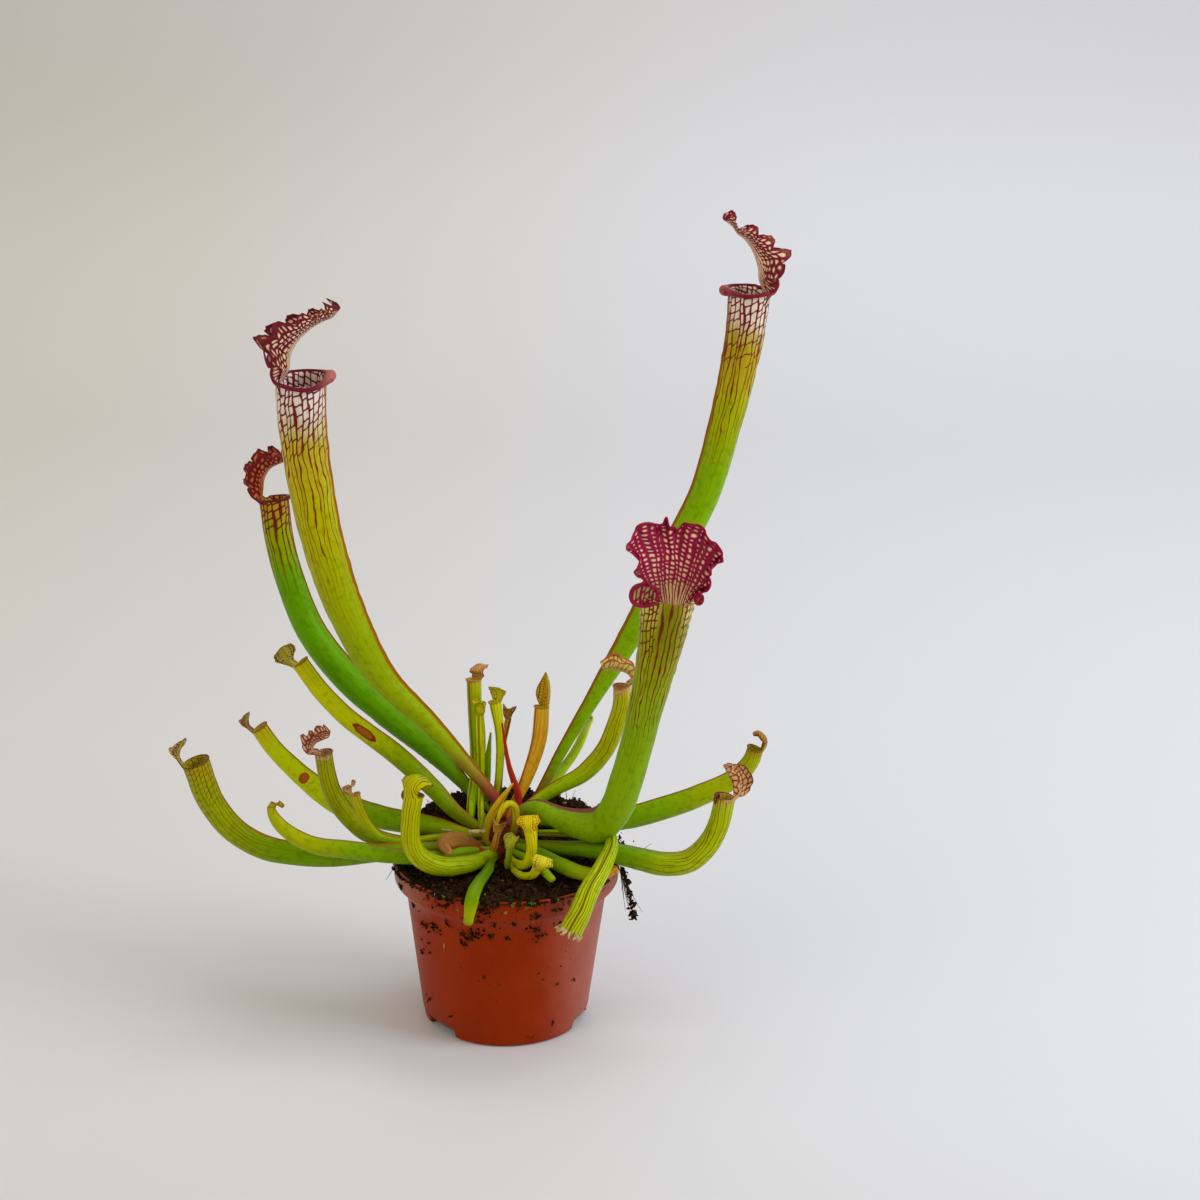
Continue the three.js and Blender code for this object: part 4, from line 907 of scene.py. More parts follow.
RIGHT_HOOD = {
    "line": [(0, -2), (2.4, 1), (4.4, 4.8), (5, 8.4), (6.4, 12.2), (8.8, 16.4), (12, 19.8), (15, 21.8),
             (17.6, 24.6), (21.6, 27)],
    "half": [7.6, 7, 6.6, 6.4, 6.2, 6.6, 7.6, 8.8, 8.8, 8, 7, 6.2, 5.8, 5, 2.4, 0.7, 2.6, 4, 2.8],
    "bend": [-1, -2.6, -4, -5, -5.4, -5.8, -6.8, -9.8, -9.6, -7.4, -6, -5.2, -4.6, -3.8, -1.6, -0.5,
             -2, -3.2, -2.2],
    "leaves": 0.12, "ruffle": 0.8, "lobes": 7.6, "knob": 4.0, "curl": 0.9, "frill": 0.2, "frills": 29,
    "teeth": 0.15, "net": 1.9,
}
SMALL_HOOD = {
    "line": [(0, -1.4), (0.8, 1), (1.6, 4), (2.6, 8), (5.6, 12), (10.4, 14), (14, 15)],
    "half": [4.8, 4.2, 4.2, 6.8, 8.6, 6.4, 2],
    "bend": [0, -3, -5, -6.5, -7, -4, 0],
    "ruffle": 0.8, "lobes": 7, "knob": 2.4, "curl": 1.2, "frill": 0.2, "frills": 23, "teeth": 0.2,
    "net": 1.5,
}
GREAT_LIP = [0.6, 1.0, 1.3, 1.6, 1.6, 1.7, 2.4, 4.0, 2.4, 1.7, 1.6, 1.6, 1.3, 1.0, 0.6]
SLIM_LIP = [0.3, 0.6, 0.8, 0.9, 1.0, 1.3, 2.0, 1.3, 1.0, 0.9, 0.8, 0.6, 0.3]


def put_pitcher(leaf, slot, skin, hood=None, lip=None, fineness=(72, 1.5, 120, 45), climbs=0.36):
    """Makes a whole pitcher: tube, hood and lip as one piece, which takes the place of its solid."""
    columns, step, hood_rows, hood_columns = fineness
    bm = bmesh.new()
    add_tube(bm, leaf, columns, step, hood)
    if hood:
        add_hood(bm, leaf, hood, hood_rows, hood_columns)
    if lip:
        add_lip(bm, leaf, hood, lip, climbs)
    put(leaf.name + "_skin", bm, skin, slot, [leaf.name])


tall_right = Leaf(
    "pitcher_tall_right",
    [(4, 13, 76), (8, 17, 79), (22, 27, 103), (35, 32, 125), (51, 37, 153), (66, 41, 184),
     (76, 43, 206), (82, 44, 230), (86, 45, 249), (89, 45, 269), (90, 45, 284)],
    [3.6, 4, 5, 7.5, 10, 11.4, 11.8, 12.4, 14.2, 16.2], (-10, 20, 300),
    [0, 0.6, 1, 1.4, 1.4, 1.2, 1, 1, 0.8, 0.4], lip=2.4, deep=120,
    flare=[1.4, 0.6, 0.4, 0.8, 2.0, 1.0, 0.8, 1.0, 1.6],
    rise=[1.0, 0.9, 0.8, 0.4, -0.1, -0.4, -0.7, -0.3, 0.8],
)
tall_right_skin = leaf_skin(
    "tall_right_skin", "eadcc8 b4b400 80b000 9c2c20 74102c 7c3000 7c1030 8c4008 f0c8a8",
    windows=(8, 26), greens=(30, 80), roots=(4, 34), net=(14, 40), turns=(12, 34), fades=(46, 90),
    cell=2.3, band=(0.08, 0.5), wide=0.14, swell=0.9, amber="bca41c", lip="a04c54",
)
put_pitcher(tall_right, "great_pitcher", tall_right_skin, RIGHT_HOOD, GREAT_LIP)

tall_left = Leaf(
    "pitcher_tall_left",
    [(-1, 10, 78), (-4, 13, 83), (-9, 13, 90), (-31, 14, 115), (-51, 14, 136), (-64, 12, 163),
     (-72, 10, 191), (-76, 8, 215), (-78, 6, 238), (-78, 5, 253)],
    [3.8, 4.8, 7, 9.2, 12, 14, 15.4, 16.4, 17.4, 18.4], (20, 0, 275),
    [0, 0.8, 1.2, 1.4, 1.4, 1.2, 1, 0.8, 0.6, 0.4], lip=2.6, deep=110,
    flare=[1.6, 1.0, 0.8, 1.0, 2.0, 0.8, 0.4, 0.6, 1.4],
    rise=[0.8, -0.3, -0.6, 0.6, 2.6, 2.3, 1.9, 1.5, 1.0],
)
tall_left_skin = leaf_skin(
    "tall_left_skin", "eadcd0 b8b400 94ac00 982038 6c1028 7c3000 6c1030 9c4808 f0ceac",
    windows=(8, 28), greens=(40, 110), roots=(4, 42), net=(14, 40), turns=(12, 36), fades=(50, 110),
    cell=2.4, band=(0.08, 0.5), wide=0.14, swell=0.9, amber="c4b020", lip="b0605c",
)
put_pitcher(tall_left, "great_pitcher", tall_left_skin, LEFT_HOOD, GREAT_LIP)

back_left = Leaf(
    "pitcher_back_left",
    [(-4, 17, 72), (-8.5, 20, 77), (-19, 25, 87), (-32, 28, 99), (-51, 32, 114), (-67, 35, 128),
     (-81, 38, 146), (-89, 40, 166), (-93, 41, 182), (-95, 42, 199)],
    [3.2, 4.6, 7.4, 9.8, 11.2, 11.6, 11.4, 11.2, 11.2, 11.6], (0, 34, 220),
    [0, 0.6, 1, 1.2, 1.2, 1, 0.8, 0.6, 0.4, 0.3], lip=1.5, deep=70,
)
back_left_skin = leaf_skin(
    "back_left_skin", "b0941c 94a800 60a000 949c10 6a0c20 6a2c08 640c20 7a2c10 c87038",
    windows=(2, 12), greens=(16, 36), roots=(0, 40), net=(8, 18), turns=(4, 18), fades=(16, 50),
    wide=0.16, cell=2.2, swell=0.9,
)
put_pitcher(back_left, "dark_pitcher", back_left_skin, SMALL_HOOD, SLIM_LIP)

front_right = Leaf(
    "pitcher_front_right",
    [(1, 5, 78), (6, 4, 84), (12, 0.5, 86.5), (19.5, -4.5, 84.5), (28, -9.5, 83.5), (36, -14, 85),
     (42, -18, 94), (46, -22, 108), (50, -26, 126), (53, -30, 143), (57, -35, 166), (59.5, -38.5, 187)],
    [4.4, 5.4, 8, 11, 12.6, 12.8, 12.4, 12.6, 13.6, 15.4, 17.8, 20], (48, 30, 190),
    [0.3, 1, 2, 3, 3, 1.6, 1, 0.8, 0.6, 0.4, 0.3], lip=2.4, deep=75,
    flare=[1.6, 1.2, 0.8, 1.0, 1.6, 1.0, 0.8, 1.6, 2.4], rise=[1.0, 0.6, 0, 0, 0, 0, 0, 0.4, 1.0],
)
front_right_skin = leaf_skin(
    "front_right_skin", "e0d070 9ca400 84ac00 a04a50 88003c 6c2808 940838 7c1c48 f0c49c",
    windows=(2, 14), greens=(20, 60), roots=(0, 16), net=(14, 30), turns=(-3, 5), fades=(44, 84),
    wide=0.15, swell=1.0, cell=2.2, band=(0.08, 0.5), heart="808000", lip="6c2848",
)

# Its hood is a fan that spreads from the back of the mouth. The corners of its margin, from the left
# ear round to the right one, are so far left and up from the middle of the mouth, in mm.
FAN_MARGIN = [
    (5.6, 1.8), (7.4, 4.3), (9.4, 7.5), (12.1, 10.1), (14.4, 11.2), (16.1, 12.7), (17.2, 14.7),
    (16.2, 16.1), (15.3, 17.4), (15.6, 19.1), (17.4, 21), (19.5, 22.6), (21.3, 23.1), (21.2, 24.5),
    (19.6, 25.3), (18.8, 26.4), (17.6, 27.4), (17.3, 28.8), (16, 29.9), (13.5, 29.9), (11.8, 29.6),
    (10, 28.5), (8.3, 27.9), (7.1, 28.5), (6.2, 31.1), (5.3, 28.6), (4.4, 27.6), (2.9, 27.4),
    (1.6, 26.5), (0.6, 27.3), (-0.8, 29), (-3.1, 29.4), (-5, 29.2), (-7, 28.5), (-8.2, 27.4),
    (-8.9, 25.7), (-10.1, 24.7), (-11.5, 24.7), (-12.8, 23.6), (-14, 22.1), (-14.4, 20.2),
    (-14.9, 18.4), (-13.5, 18.1), (-11.9, 17.2), (-10.8, 15.5), (-11, 13.8), (-10.7, 12.3),
    (-11.6, 10.6), (-11.6, 8.6), (-11.1, 6.3), (-9.2, 6), (-8.1, 4.9), (-7.7, 3.1), (-6.3, 1.7),
]
FAN_FOOT = {"half": [6.4]}
RAYS_MEET = 12
RAY_WIDE = 34


def add_fan(bm, leaf, margin, foot_half, rows=46, columns=220, thick=0.5):
    """Adds the fan as one closed thin sheet: veined rays from the mouth's back out to the margin."""
    at, up, inner, side = leaf.axes(1.0)
    back = leaf.radius - HOOD_INSET
    flat_margin = np.array([(left, high, 0) for left, high in margin])
    rim = walk(flat_margin, columns - 1)[0]
    shares = np.linspace(0, 1, columns)
    foot = np.stack([foot_half * (1 - 2 * shares), np.full(columns, -1.6)], axis=1)
    outs = np.linspace(0, 1, rows) ** 0.85
    middle = np.zeros((rows, columns, 3))
    lefts, highs = np.zeros((rows, columns)), np.zeros((rows, columns))
    for row, out in enumerate(outs):
        left = foot[:, 0] + (rim[:, 0] - foot[:, 0]) * out**1.3
        high = foot[:, 1] + (rim[:, 1] - foot[:, 1]) * out**0.9
        freed = smooth(high, -1, 9)
        round_wall = np.sqrt(np.maximum(0, back**2 - np.minimum(np.abs(left), back) ** 2))
        lean = np.interp(high, [-1, 4, 10, 16, 22, 30], [0, 1.6, 2.6, 3.6, 5.7, 9])
        ruffle = np.sin(shares * 57 + 0.8) * 1.1 + np.sin(shares * 131) * 0.4
        inward = -(1 - freed) * round_wall - freed * back + lean - freed * 6 * (left / 17) ** 2
        inward = inward + ruffle * smooth(out, 0.5, 1.0) - 1.6 * smooth(out, 0.9, 1.0)
        middle[row] = at + inner * inward[:, None] + side * left[:, None] + up * high[:, None]
        lefts[row], highs[row] = left, high
    out = sheet_out(middle)
    half = thick / 2 * np.sqrt(np.clip(1 - outs**10, 0, 1))[:, None]
    half = half * np.sqrt(np.clip(1 - np.abs(2 * shares - 1) ** 30, 0, 1))[None, :]
    half[0] = 0
    half = half[:, :, None]
    both = np.concatenate([middle + out * half, (middle - out * half)[-2::-1]])
    far = np.concatenate([outs, outs[-2::-1]])[:, None] * np.ones((1, columns))
    centre = np.ones_like(far) * (shares - 0.5)[None, :]
    spread, reached = [np.concatenate([part, part[-2::-1]]) for part in (lefts, highs)]
    ray = np.arctan2(spread, reached + RAYS_MEET)
    uv = np.stack([ray * RAY_WIDE, -1.4 * np.hypot(spread, reached + RAYS_MEET)], axis=2)
    heart = (1 - smooth(reached, 5, 22)) * (1 - smooth(np.abs(ray), 0.25, 0.6))
    marks = {
        "base": np.full(far.shape, leaf.length), "keel": np.zeros(far.shape),
        "edge": np.maximum(far**18, np.abs(2 * centre) ** 40), "reach": 0.35 + 0.65 * far,
        "back": heart * 0.6,
    }
    lay_sheet(bm, both, uv, **marks)
    add_strand(bm, walk(middle[-1], 260)[0], [0.5, 0.8, 0.5, 0.9, 0.6, 0.5, 0.8, 0.5], 8, (0.9, 0.9),
               base=leaf.length, keel=0.0, reach=1.0, back=0.0)


def add_ear(bm, leaf, middle, across, high, roll=1.4):
    """Adds a round lobe of the lip that is turned back beside the mouth, so big across and high, with
    its middle so far inward, aside and up from the mouth's, and a rolled margin."""
    at, up, inner, side = leaf.axes(1.0)
    centre = at + inner * middle[0] + side * middle[1] + up * middle[2]
    rings, spokes = np.linspace(0, 1, 12), np.linspace(0, 2 * np.pi, 37)
    front = np.zeros((12, 37, 3))
    for row, share in enumerate(rings):
        for column, angle in enumerate(spokes):
            cup = 1.3 * share * share - 0.4 * share * math.sin(3 * angle)
            front[row, column] = (
                centre + side * across / 2 * share * math.cos(angle)
                + up * high / 2 * share * math.sin(angle) - inner * cup * across / 10
            )
    front[:, -1] = front[:, 0]
    back = front[::-1] + inner * 0.4 * (1 - rings[::-1, None, None] ** 6)
    disc = np.concatenate([front, back])
    far = np.concatenate([rings, rings[::-1]])[:, None] * np.ones((1, 37))
    uv = np.stack([far * np.cos(spokes) * across * 0.8, -14 + far * np.sin(spokes) * high * 0.3], axis=2)
    whole = np.full(far.shape, 1.0)
    lay_sheet(bm, disc, uv, base=whole * leaf.length, keel=whole * 0, edge=far**8 * 0.9, reach=whole * 0.5,
              back=whole * 0.55)
    add_strand(bm, walk([*front[-1]], 60)[0], [roll, 1.2 * roll, roll, 1.2 * roll, roll], 10, (0.95, 0.95),
               base=leaf.length, keel=0.0, reach=0.5, back=0.0)


cup = bmesh.new()
add_tube(cup, front_right, 72, 1.5, FAN_FOOT)
add_fan(cup, front_right, FAN_MARGIN, FAN_FOOT["half"][0])
add_lip(cup, front_right, FAN_FOOT, SLIM_LIP, 0)
put("pitcher_front_right_skin", cup, front_right_skin, "great_pitcher", ["pitcher_front_right"])

ears = bmesh.new()
add_ear(ears, front_right, (-7, 10.9, 2.5), 9.8, 8.8, 1.35)
add_ear(ears, front_right, (-7, -9.5, 1.6), 2.8, 3.8, 0.95)
put("front_right_ears", ears, front_right_skin, "great_pitcher")

SEAM_HAIRS = 34
hairs = bmesh.new()
for k in range(SEAM_HAIRS):
    at, up, inner, side = front_right.axes(chance.uniform(0.1, 0.46))
    radius = float(through(front_right.width, 0.3)) / 2
    start = at + inner * (radius + 1.6) + side * chance.uniform(-0.4, 0.6)
    add_strand(hairs, hair(start, inner + side * chance.gauss(0, 0.5), chance.uniform(0.8, 2), 0.2, 5),
               [0.22, 0.16, 0.1], 4)
put("front_right_hairs", hairs, fibre_finish.material, "peat")


# The middle pitchers: narrower tubes that lie out from the crown and turn up, with plain lids that
# are cupped, hooked or curled. They are soft green leaf, reddish along the seam and at the lid.
def hood_of(line, half, bend, **more):
    return {"line": line, "half": half, "bend": bend, "net": 1.2, **more}


TWISTED_LID = hood_of([(0, -1.2), (-0.9, 3.2), (1, 6.6), (5.2, 9), (8.2, 12.2)],
                      [2.6, 1.7, 3.4, 3.6, 1.2], [0.8, 0.4, -1.6, -1.8, 0], ruffle=0.3, lobes=2,
                      curl=0.5, twist=-0.9)
HOOK_LID = hood_of([(0, -1), (-0.7, 3), (0.9, 6), (4.3, 7.2), (6.3, 5.6)], [2, 1.8, 2.6, 2.8, 1.2],
                   [1.2, 1.6, 1.8, 1.6, 0.6], ruffle=0.3, lobes=3, knob=0.5)
COMPACT_LID = hood_of([(0, -1), (-1, 2.6), (0.4, 5), (3.4, 6.6), (5.4, 8.4)], [2, 1.5, 2.6, 2.6, 1.2],
                      [1, 0.6, -0.8, -1, 0.2], ruffle=0.3, lobes=3, knob=0.4, twist=-0.8)
CUPPED_LID = hood_of([(0, -1), (-1.2, 2.6), (-0.6, 6), (1.4, 8.6), (3.6, 9.2)], [2.8, 3.6, 4.8, 4.4, 2.4],
                     [1.2, 1.2, 1.2, 1.2, 0.8], ruffle=0.4, lobes=4, knob=0.6, twist=-1.0)
FRILLED_LID = hood_of([(0, -1), (-0.8, 1.8), (0.8, 4), (4.4, 5.8), (7.4, 7)], [3, 4, 5, 4.8, 3],
                      [1.2, -2, -4.4, -4.4, -2], ruffle=0.5, lobes=4, knob=1.4, curl=0.6, frill=0.2,
                      frills=13, twist=-0.5)
CURLED_HOOD = hood_of([(0, -1), (-0.8, 3), (0.8, 6.2), (4.6, 7.4), (8.4, 6), (10.6, 3.6)],
                      [3.2, 4.2, 5.6, 5.8, 4.8, 2.6], [1.4, 2, 2.8, 3, 2.4, 1], ruffle=0.4, lobes=4,
                      knob=0.6, curl=0.6)
BROAD_FLAP = hood_of([(0, -1), (-0.6, 2.6), (1.2, 5.2), (4.8, 6.6), (8.2, 7), (10.4, 6.2)],
                     [3.0, 3.4, 4.2, 4.6, 4.2, 2.4], [1.2, -1, -3.6, -4.6, -4.2, -2.4], ruffle=0.4,
                     lobes=3, knob=1, curl=0.5)
SADDLE_HOOD = hood_of([(0, -1), (-0.6, 3), (0.8, 6.6), (3.8, 9.6), (7.4, 12)], [3.6, 4.4, 6.2, 5.4, 1.6],
                      [1, -2, -5, -4, -0.5], ruffle=0.5, lobes=4, knob=0.9, curl=1.0)
FLAP_LID = hood_of([(0, -1), (-0.4, 1.6), (0.8, 3.4), (3.4, 4.2)], [1.8, 2, 2.8, 1.8],
                   [0.8, 0.2, -1.8, -1.4], ruffle=0.2, lobes=2, knob=0.5, twist=-0.7)
THIN_LIP = [0.3, 0.5, 0.7, 0.8, 0.9, 0.8, 0.7, 0.5, 0.3]
MIDDLE = (40, 2.0, 40, 27)

MIDDLE_SKIN = {
    "cell": 1.5, "wide": 0.06, "roots": (0, 40), "swell": 2.5, "turns": (0, 8), "greens": (20, 50),
    "windows": (0, 6), "fades": (4, 12), "net": (-3, 0), "lines": 0.2,
}

# Each row: the leaf, its slot, its lid, its tones as leaf_skin takes them, and what is its own.
middle_ones = [
    (Leaf("pitcher_far_left",
          [(-6, 0, 72), (-14, -5, 72), (-29, -11, 73), (-45, -14, 73), (-64, -14, 71), (-79, -14, 71.5),
           (-93, -14, 74), (-105, -15, 82), (-113, -16, 94), (-118, -17, 110)],
          [4, 5.4, 6.2, 7, 8.6, 9.2, 9.4, 9.8, 10.4], (-60, -12, 150),
          [0, 0.3, 0.6, 0.6, 0.6, 0.6, 0.6, 0.4, 0.2], lip=0.6, deep=45),
     "green_pitcher", TWISTED_LID, "a09408 98a400 6e9800 646c00 5a2c08 684008 6e4410 9c5010 c0a850",
     dict(cell=1.7, wide=0.07, swell=1.8, turns=(0, 12), greens=(20, 60), windows=(2, 12), fades=(34, 70),
          net=(12, 26))),
    (Leaf("pitcher_spotted_upper",
          [(-6, 8, 73), (-12, 8, 75), (-21, 9, 81), (-31, 11, 91), (-45, 14, 103), (-57, 17, 111),
           (-65, 18, 117), (-75, 20, 127), (-83, 21, 138)],
          [3.4, 5, 6.6, 7.6, 7.8, 7.6, 7.4, 7, 6.8], (-20, 12, 190),
          [0, 0.4, 0.6, 0.6, 0.6, 0.5, 0.5, 0.4, 0.2], lip=0.6, deep=35),
     "green_pitcher", CUPPED_LID, "c0bc10 c4cc00 7c9c00 6c7000 7a4010 8c6408 8a7010 9c5c10 ccc460",
     dict(roots=(0, 30), swell=1.8, greens=(36, 60), windows=(2, 12), lines=0.1,
          spots=[((17.0, 38), (1.6, 5.8), "9a5a10", "84200c")])),
    (Leaf("pitcher_spotted_lower",
          [(-7, 5, 70), (-15, 5, 72.5), (-27, 9, 74), (-47, 14, 75), (-64, 18, 78), (-74, 20, 83),
           (-85, 21, 92), (-94, 22, 101), (-100, 22, 110)],
          [3.8, 6, 8, 9, 10, 9.6, 8.2, 7.2, 6.8], (-45, 15, 160),
          [0, 0.4, 0.6, 0.6, 0.6, 0.6, 0.5, 0.4, 0.2], lip=0.6, deep=35),
     "green_pitcher", COMPACT_LID, "c0b810 bccc00 7ca800 8c9c00 7a4018 8c6408 9a5c3c 9c5c10 b08858",
     dict(greens=(35, 60), windows=(2, 12), fades=(2, 8), lines=0.1,
          spots=[((17.4, 27), (2.0, 1.9), "a85018", "94440c")])),
    (Leaf("pitcher_left_middle",
          [(-9, 1, 73), (-18, -1, 74), (-28, -3.5, 73), (-39, -5, 73), (-53, -5, 76), (-63, -4, 85),
           (-68, -4, 94), (-70, -4, 102), (-71, -4, 110)],
          [3, 4, 4.8, 5.4, 6.4, 7.2, 7.2, 6.8, 6.8], (-25, -4, 140),
          [0, 0.2, 0.4, 0.5, 0.6, 0.5, 0.4, 0.4, 0.2], lip=0.7, deep=25),
     "green_pitcher", FRILLED_LID, "c09870 98a000 98a800 78a000 7a2c20 6a3c08 8c4c38 7c5410 dcac90",
     dict(wide=0.07, turns=(0, 10), greens=(16, 40), windows=(0, 5), fades=(16, 40), net=(2, 8))),
    (Leaf("pitcher_hooked_left",
          [(-6, -7, 72), (-17, -15, 74), (-29, -21, 74), (-40, -23.5, 75.5), (-59, -24, 78),
           (-72, -24, 79.5), (-81, -24, 84), (-86.5, -24, 89.5), (-88.4, -24, 94.5), (-86.5, -24, 97),
           (-84, -24, 95.6)],
          [2.6, 3.8, 4.6, 5.6, 6.6, 6.8, 6.2, 4.8, 1.8], (-50, -22, 120),
          [0, 0.3, 0.4, 0.4, 0.4, 0.4, 0.3, 0.2, 0]),
     "green_pitcher", None, "9a7c20 a4ae00 749c00 749c00 7a4018 7c6410 8a5030 9a5c10",
     dict(cell=2.4, wide=0.05, roots=(0, 50), swell=0.9, turns=(6, 30), windows=(0, 8), net=(14, 30),
          lines=0.12)),
    (Leaf("pitcher_curled_left",
          [(-1, -7, 72), (-6, -13, 72), (-13, -20, 71.5), (-24, -26.5, 73), (-32, -28, 77.5),
           (-35, -28, 84), (-35, -27, 95), (-34, -26, 102)],
          [3.4, 5, 6.4, 7.2, 7.6, 7.4, 7.2, 7.4], (-6, 12, 125), [0, 0.4, 0.6, 0.6, 0.5, 0.4, 0.3, 0.2],
          lip=0.7, deep=25),
     "veined_pitcher", CURLED_HOOD, "b8b800 b0b800 98b400 501804 6a2404 6a2404 90600c 7c5408",
     dict(wide=0.07, roots=(4, 12), swell=0.9, turns=(0, 4), greens=(18, 40), windows=(0, 10),
          fades=(40, 60), net=(-30, -20), lines=0.25)),
    (Leaf("pitcher_behind_right",
          [(2, 8, 77), (6, 9.5, 82), (12, 12, 86), (20, 12.5, 91), (30, 13, 97), (38, 13, 107),
           (42, 12, 118), (44, 12, 126), (44, 12, 134)],
          [2.8, 4, 5, 6, 6.8, 7, 7, 6.8, 6.6], (5, 8, 150), [0, 0.3, 0.5, 0.5, 0.5, 0.4, 0.3, 0.2, 0.1],
          lip=0.6, deep=28),
     "veined_pitcher", BROAD_FLAP, "c8a060 b0b800 98b800 9c4a20 9c4c28 6e2c08 a4603c 8a3a10 d4bc60",
     dict(roots=(0, 14), swell=0.9, windows=(-1, 5), fades=(28, 56), net=(0, 4), lines=0.3)),
    (Leaf("pitcher_far_right",
          [(4, 9, 75), (11, 12, 76), (24, 14, 75.5), (44, 17, 75.5), (60, 19, 79.5), (76, 21, 85),
           (90, 23, 92), (96, 23, 99), (98, 23, 105)],
          [3, 5, 6.8, 8.2, 9, 9, 8.4, 7.6, 6.4], (40, 20, 150),
          [0, 0.3, 0.5, 0.6, 0.6, 0.5, 0.4, 0.3, 0.1], lip=0.5, deep=35),
     "green_pitcher", HOOK_LID, "a08810 a4b000 78a400 646c00 6a3410 74501c 8a5c14 8a4a10 a07c38",
     dict(lines=0.15)),
    (Leaf("pitcher_curled_right",
          [(3, -1, 73), (9, -4, 73), (21, -9, 74), (37, -13, 75), (52, -15, 72.5), (62, -16, 71),
           (71, -17, 73), (78, -17, 80), (82, -17, 89), (84, -17, 100)],
          [3.4, 4.6, 5.6, 6.6, 7.8, 8.6, 8.6, 8.4, 8.2, 8], (40, 22, 125),
          [0, 0.3, 0.4, 0.5, 0.6, 0.6, 0.5, 0.4, 0.3, 0.1], lip=0.8, deep=35),
     "veined_pitcher", SADDLE_HOOD, "c09c4c a8bc00 6ca000 646c00 842428 6e3008 8c3c34 8a3a10 d8b078",
     dict(cell=1.6, wide=0.08, swell=0.9, turns=(0, 10), greens=(30, 60), windows=(-2, 6), fades=(34, 64),
          net=(-2, 0), lines=0.3)),
    (Leaf("pitcher_drooping",
          [(6, 1, 76), (14, 1, 76), (26, -1, 77), (35, -5, 78.5), (40, -13, 81.5), (41, -22, 81),
           (37.5, -34, 77), (32.5, -43, 71), (29.5, -46.5, 64), (26, -48.5, 57)],
          [2.4, 2.8, 3.2, 3.8, 4.4, 5.4, 6.6, 7.6, 8.2, 8.8], (40, -70, 110),
          [0, 0.1, 0.2, 0.3, 0.4, 0.5, 0.5, 0.4, 0.3, 0.2], lip=0.4, deep=22),
     "veined_pitcher", None, "b0bc10 b4cc08 94b800 7c9400 5a2804 5a2804 9c7428 6a3404",
     dict(wide=0.09, roots=(0, 20), swell=0.9, turns=(0, 4), greens=(26, 60), windows=(4, 14),
          fades=(56, 90), net=(-30, -20), lines=0.3, band=(0.5, 0.9))),
]

# Two of them carry a round lobe of the lip that is turned back beside the mouth: its middle inward,
# aside and up from the mouth's, how big it is across and high, and the roll of its margin, in mm.
LOBES = {
    "pitcher_curled_left": ((1.2, 4.1, -1.4), 4.0, 4.0, 0.8),
    "pitcher_curled_right": ((1.6, 3.9, -0.4), 3.2, 3.6, 0.7),
}
for leaf, slot, lid, tones, own in middle_ones:
    skin = leaf_skin(leaf.name + "_tones", tones, **{**MIDDLE_SKIN, **own})
    put_pitcher(leaf, slot, skin, lid, THIN_LIP if lid else None, MIDDLE, 0)
    if leaf.name in LOBES:
        curl = bmesh.new()
        add_ear(curl, leaf, *LOBES[leaf.name])
        put(leaf.name.removeprefix("pitcher_") + "_ear", curl, skin, "veined_pitcher")
    if leaf.name == "pitcher_drooping":
        drooping = leaf

# The drooping one has lost its hood, and a fringe of torn fibres stands round its mouth.
FRINGE_FIBRES = 34
fringe = bmesh.new()
at, up, inner, side = drooping.axes(1.0)
for k in range(FRINGE_FIBRES):
    angle = chance.uniform(0, 2 * math.pi)
    out = inner * math.cos(angle) + side * math.sin(angle)
    start = at + out * (drooping.radius - 0.4) - up
    path = hair(start, up * 1.6 + out * 0.9, chance.uniform(1.6, 3.2), 0.3, 6)
    add_strand(fringe, path, [1.4, 1.2, 0.5], 5)
put("drooping_fringe", fringe, litter_finish.material, "veined_pitcher")


# The small and young pitchers round the crown: thin tubes, some still closed, in yellow, amber and
# salmon, each with a little lid or none yet. Their rows are like those of the middle pitchers.
POINTED_LID = hood_of([(0, -1.2), (-0.4, 4), (0.2, 9), (2.2, 14)], [2.6, 3.2, 2.9, 0.3],
                      [1.8, 4.2, 3.4, 0.2])
FLARED_LID = hood_of([(0, -1), (-1, 1.6), (-0.8, 3.8), (1.6, 5.8)], [2.4, 3.4, 4.6, 3.6],
                     [1.6, 1.8, 1, 0.2], ruffle=0.3, lobes=3, knob=0.6)
FLAT_RIM = hood_of([(0, -1), (-0.8, 1.4), (0.6, 2.8), (-2, 4.2), (-5, 4.4)], [2.6, 3.2, 3.4, 3, 1.4],
                   [1, 1, 0.6, 0.4, 0.2], ruffle=0.3, lobes=3, knob=0.5)
SMALL = (26, 1.4, 18, 13)

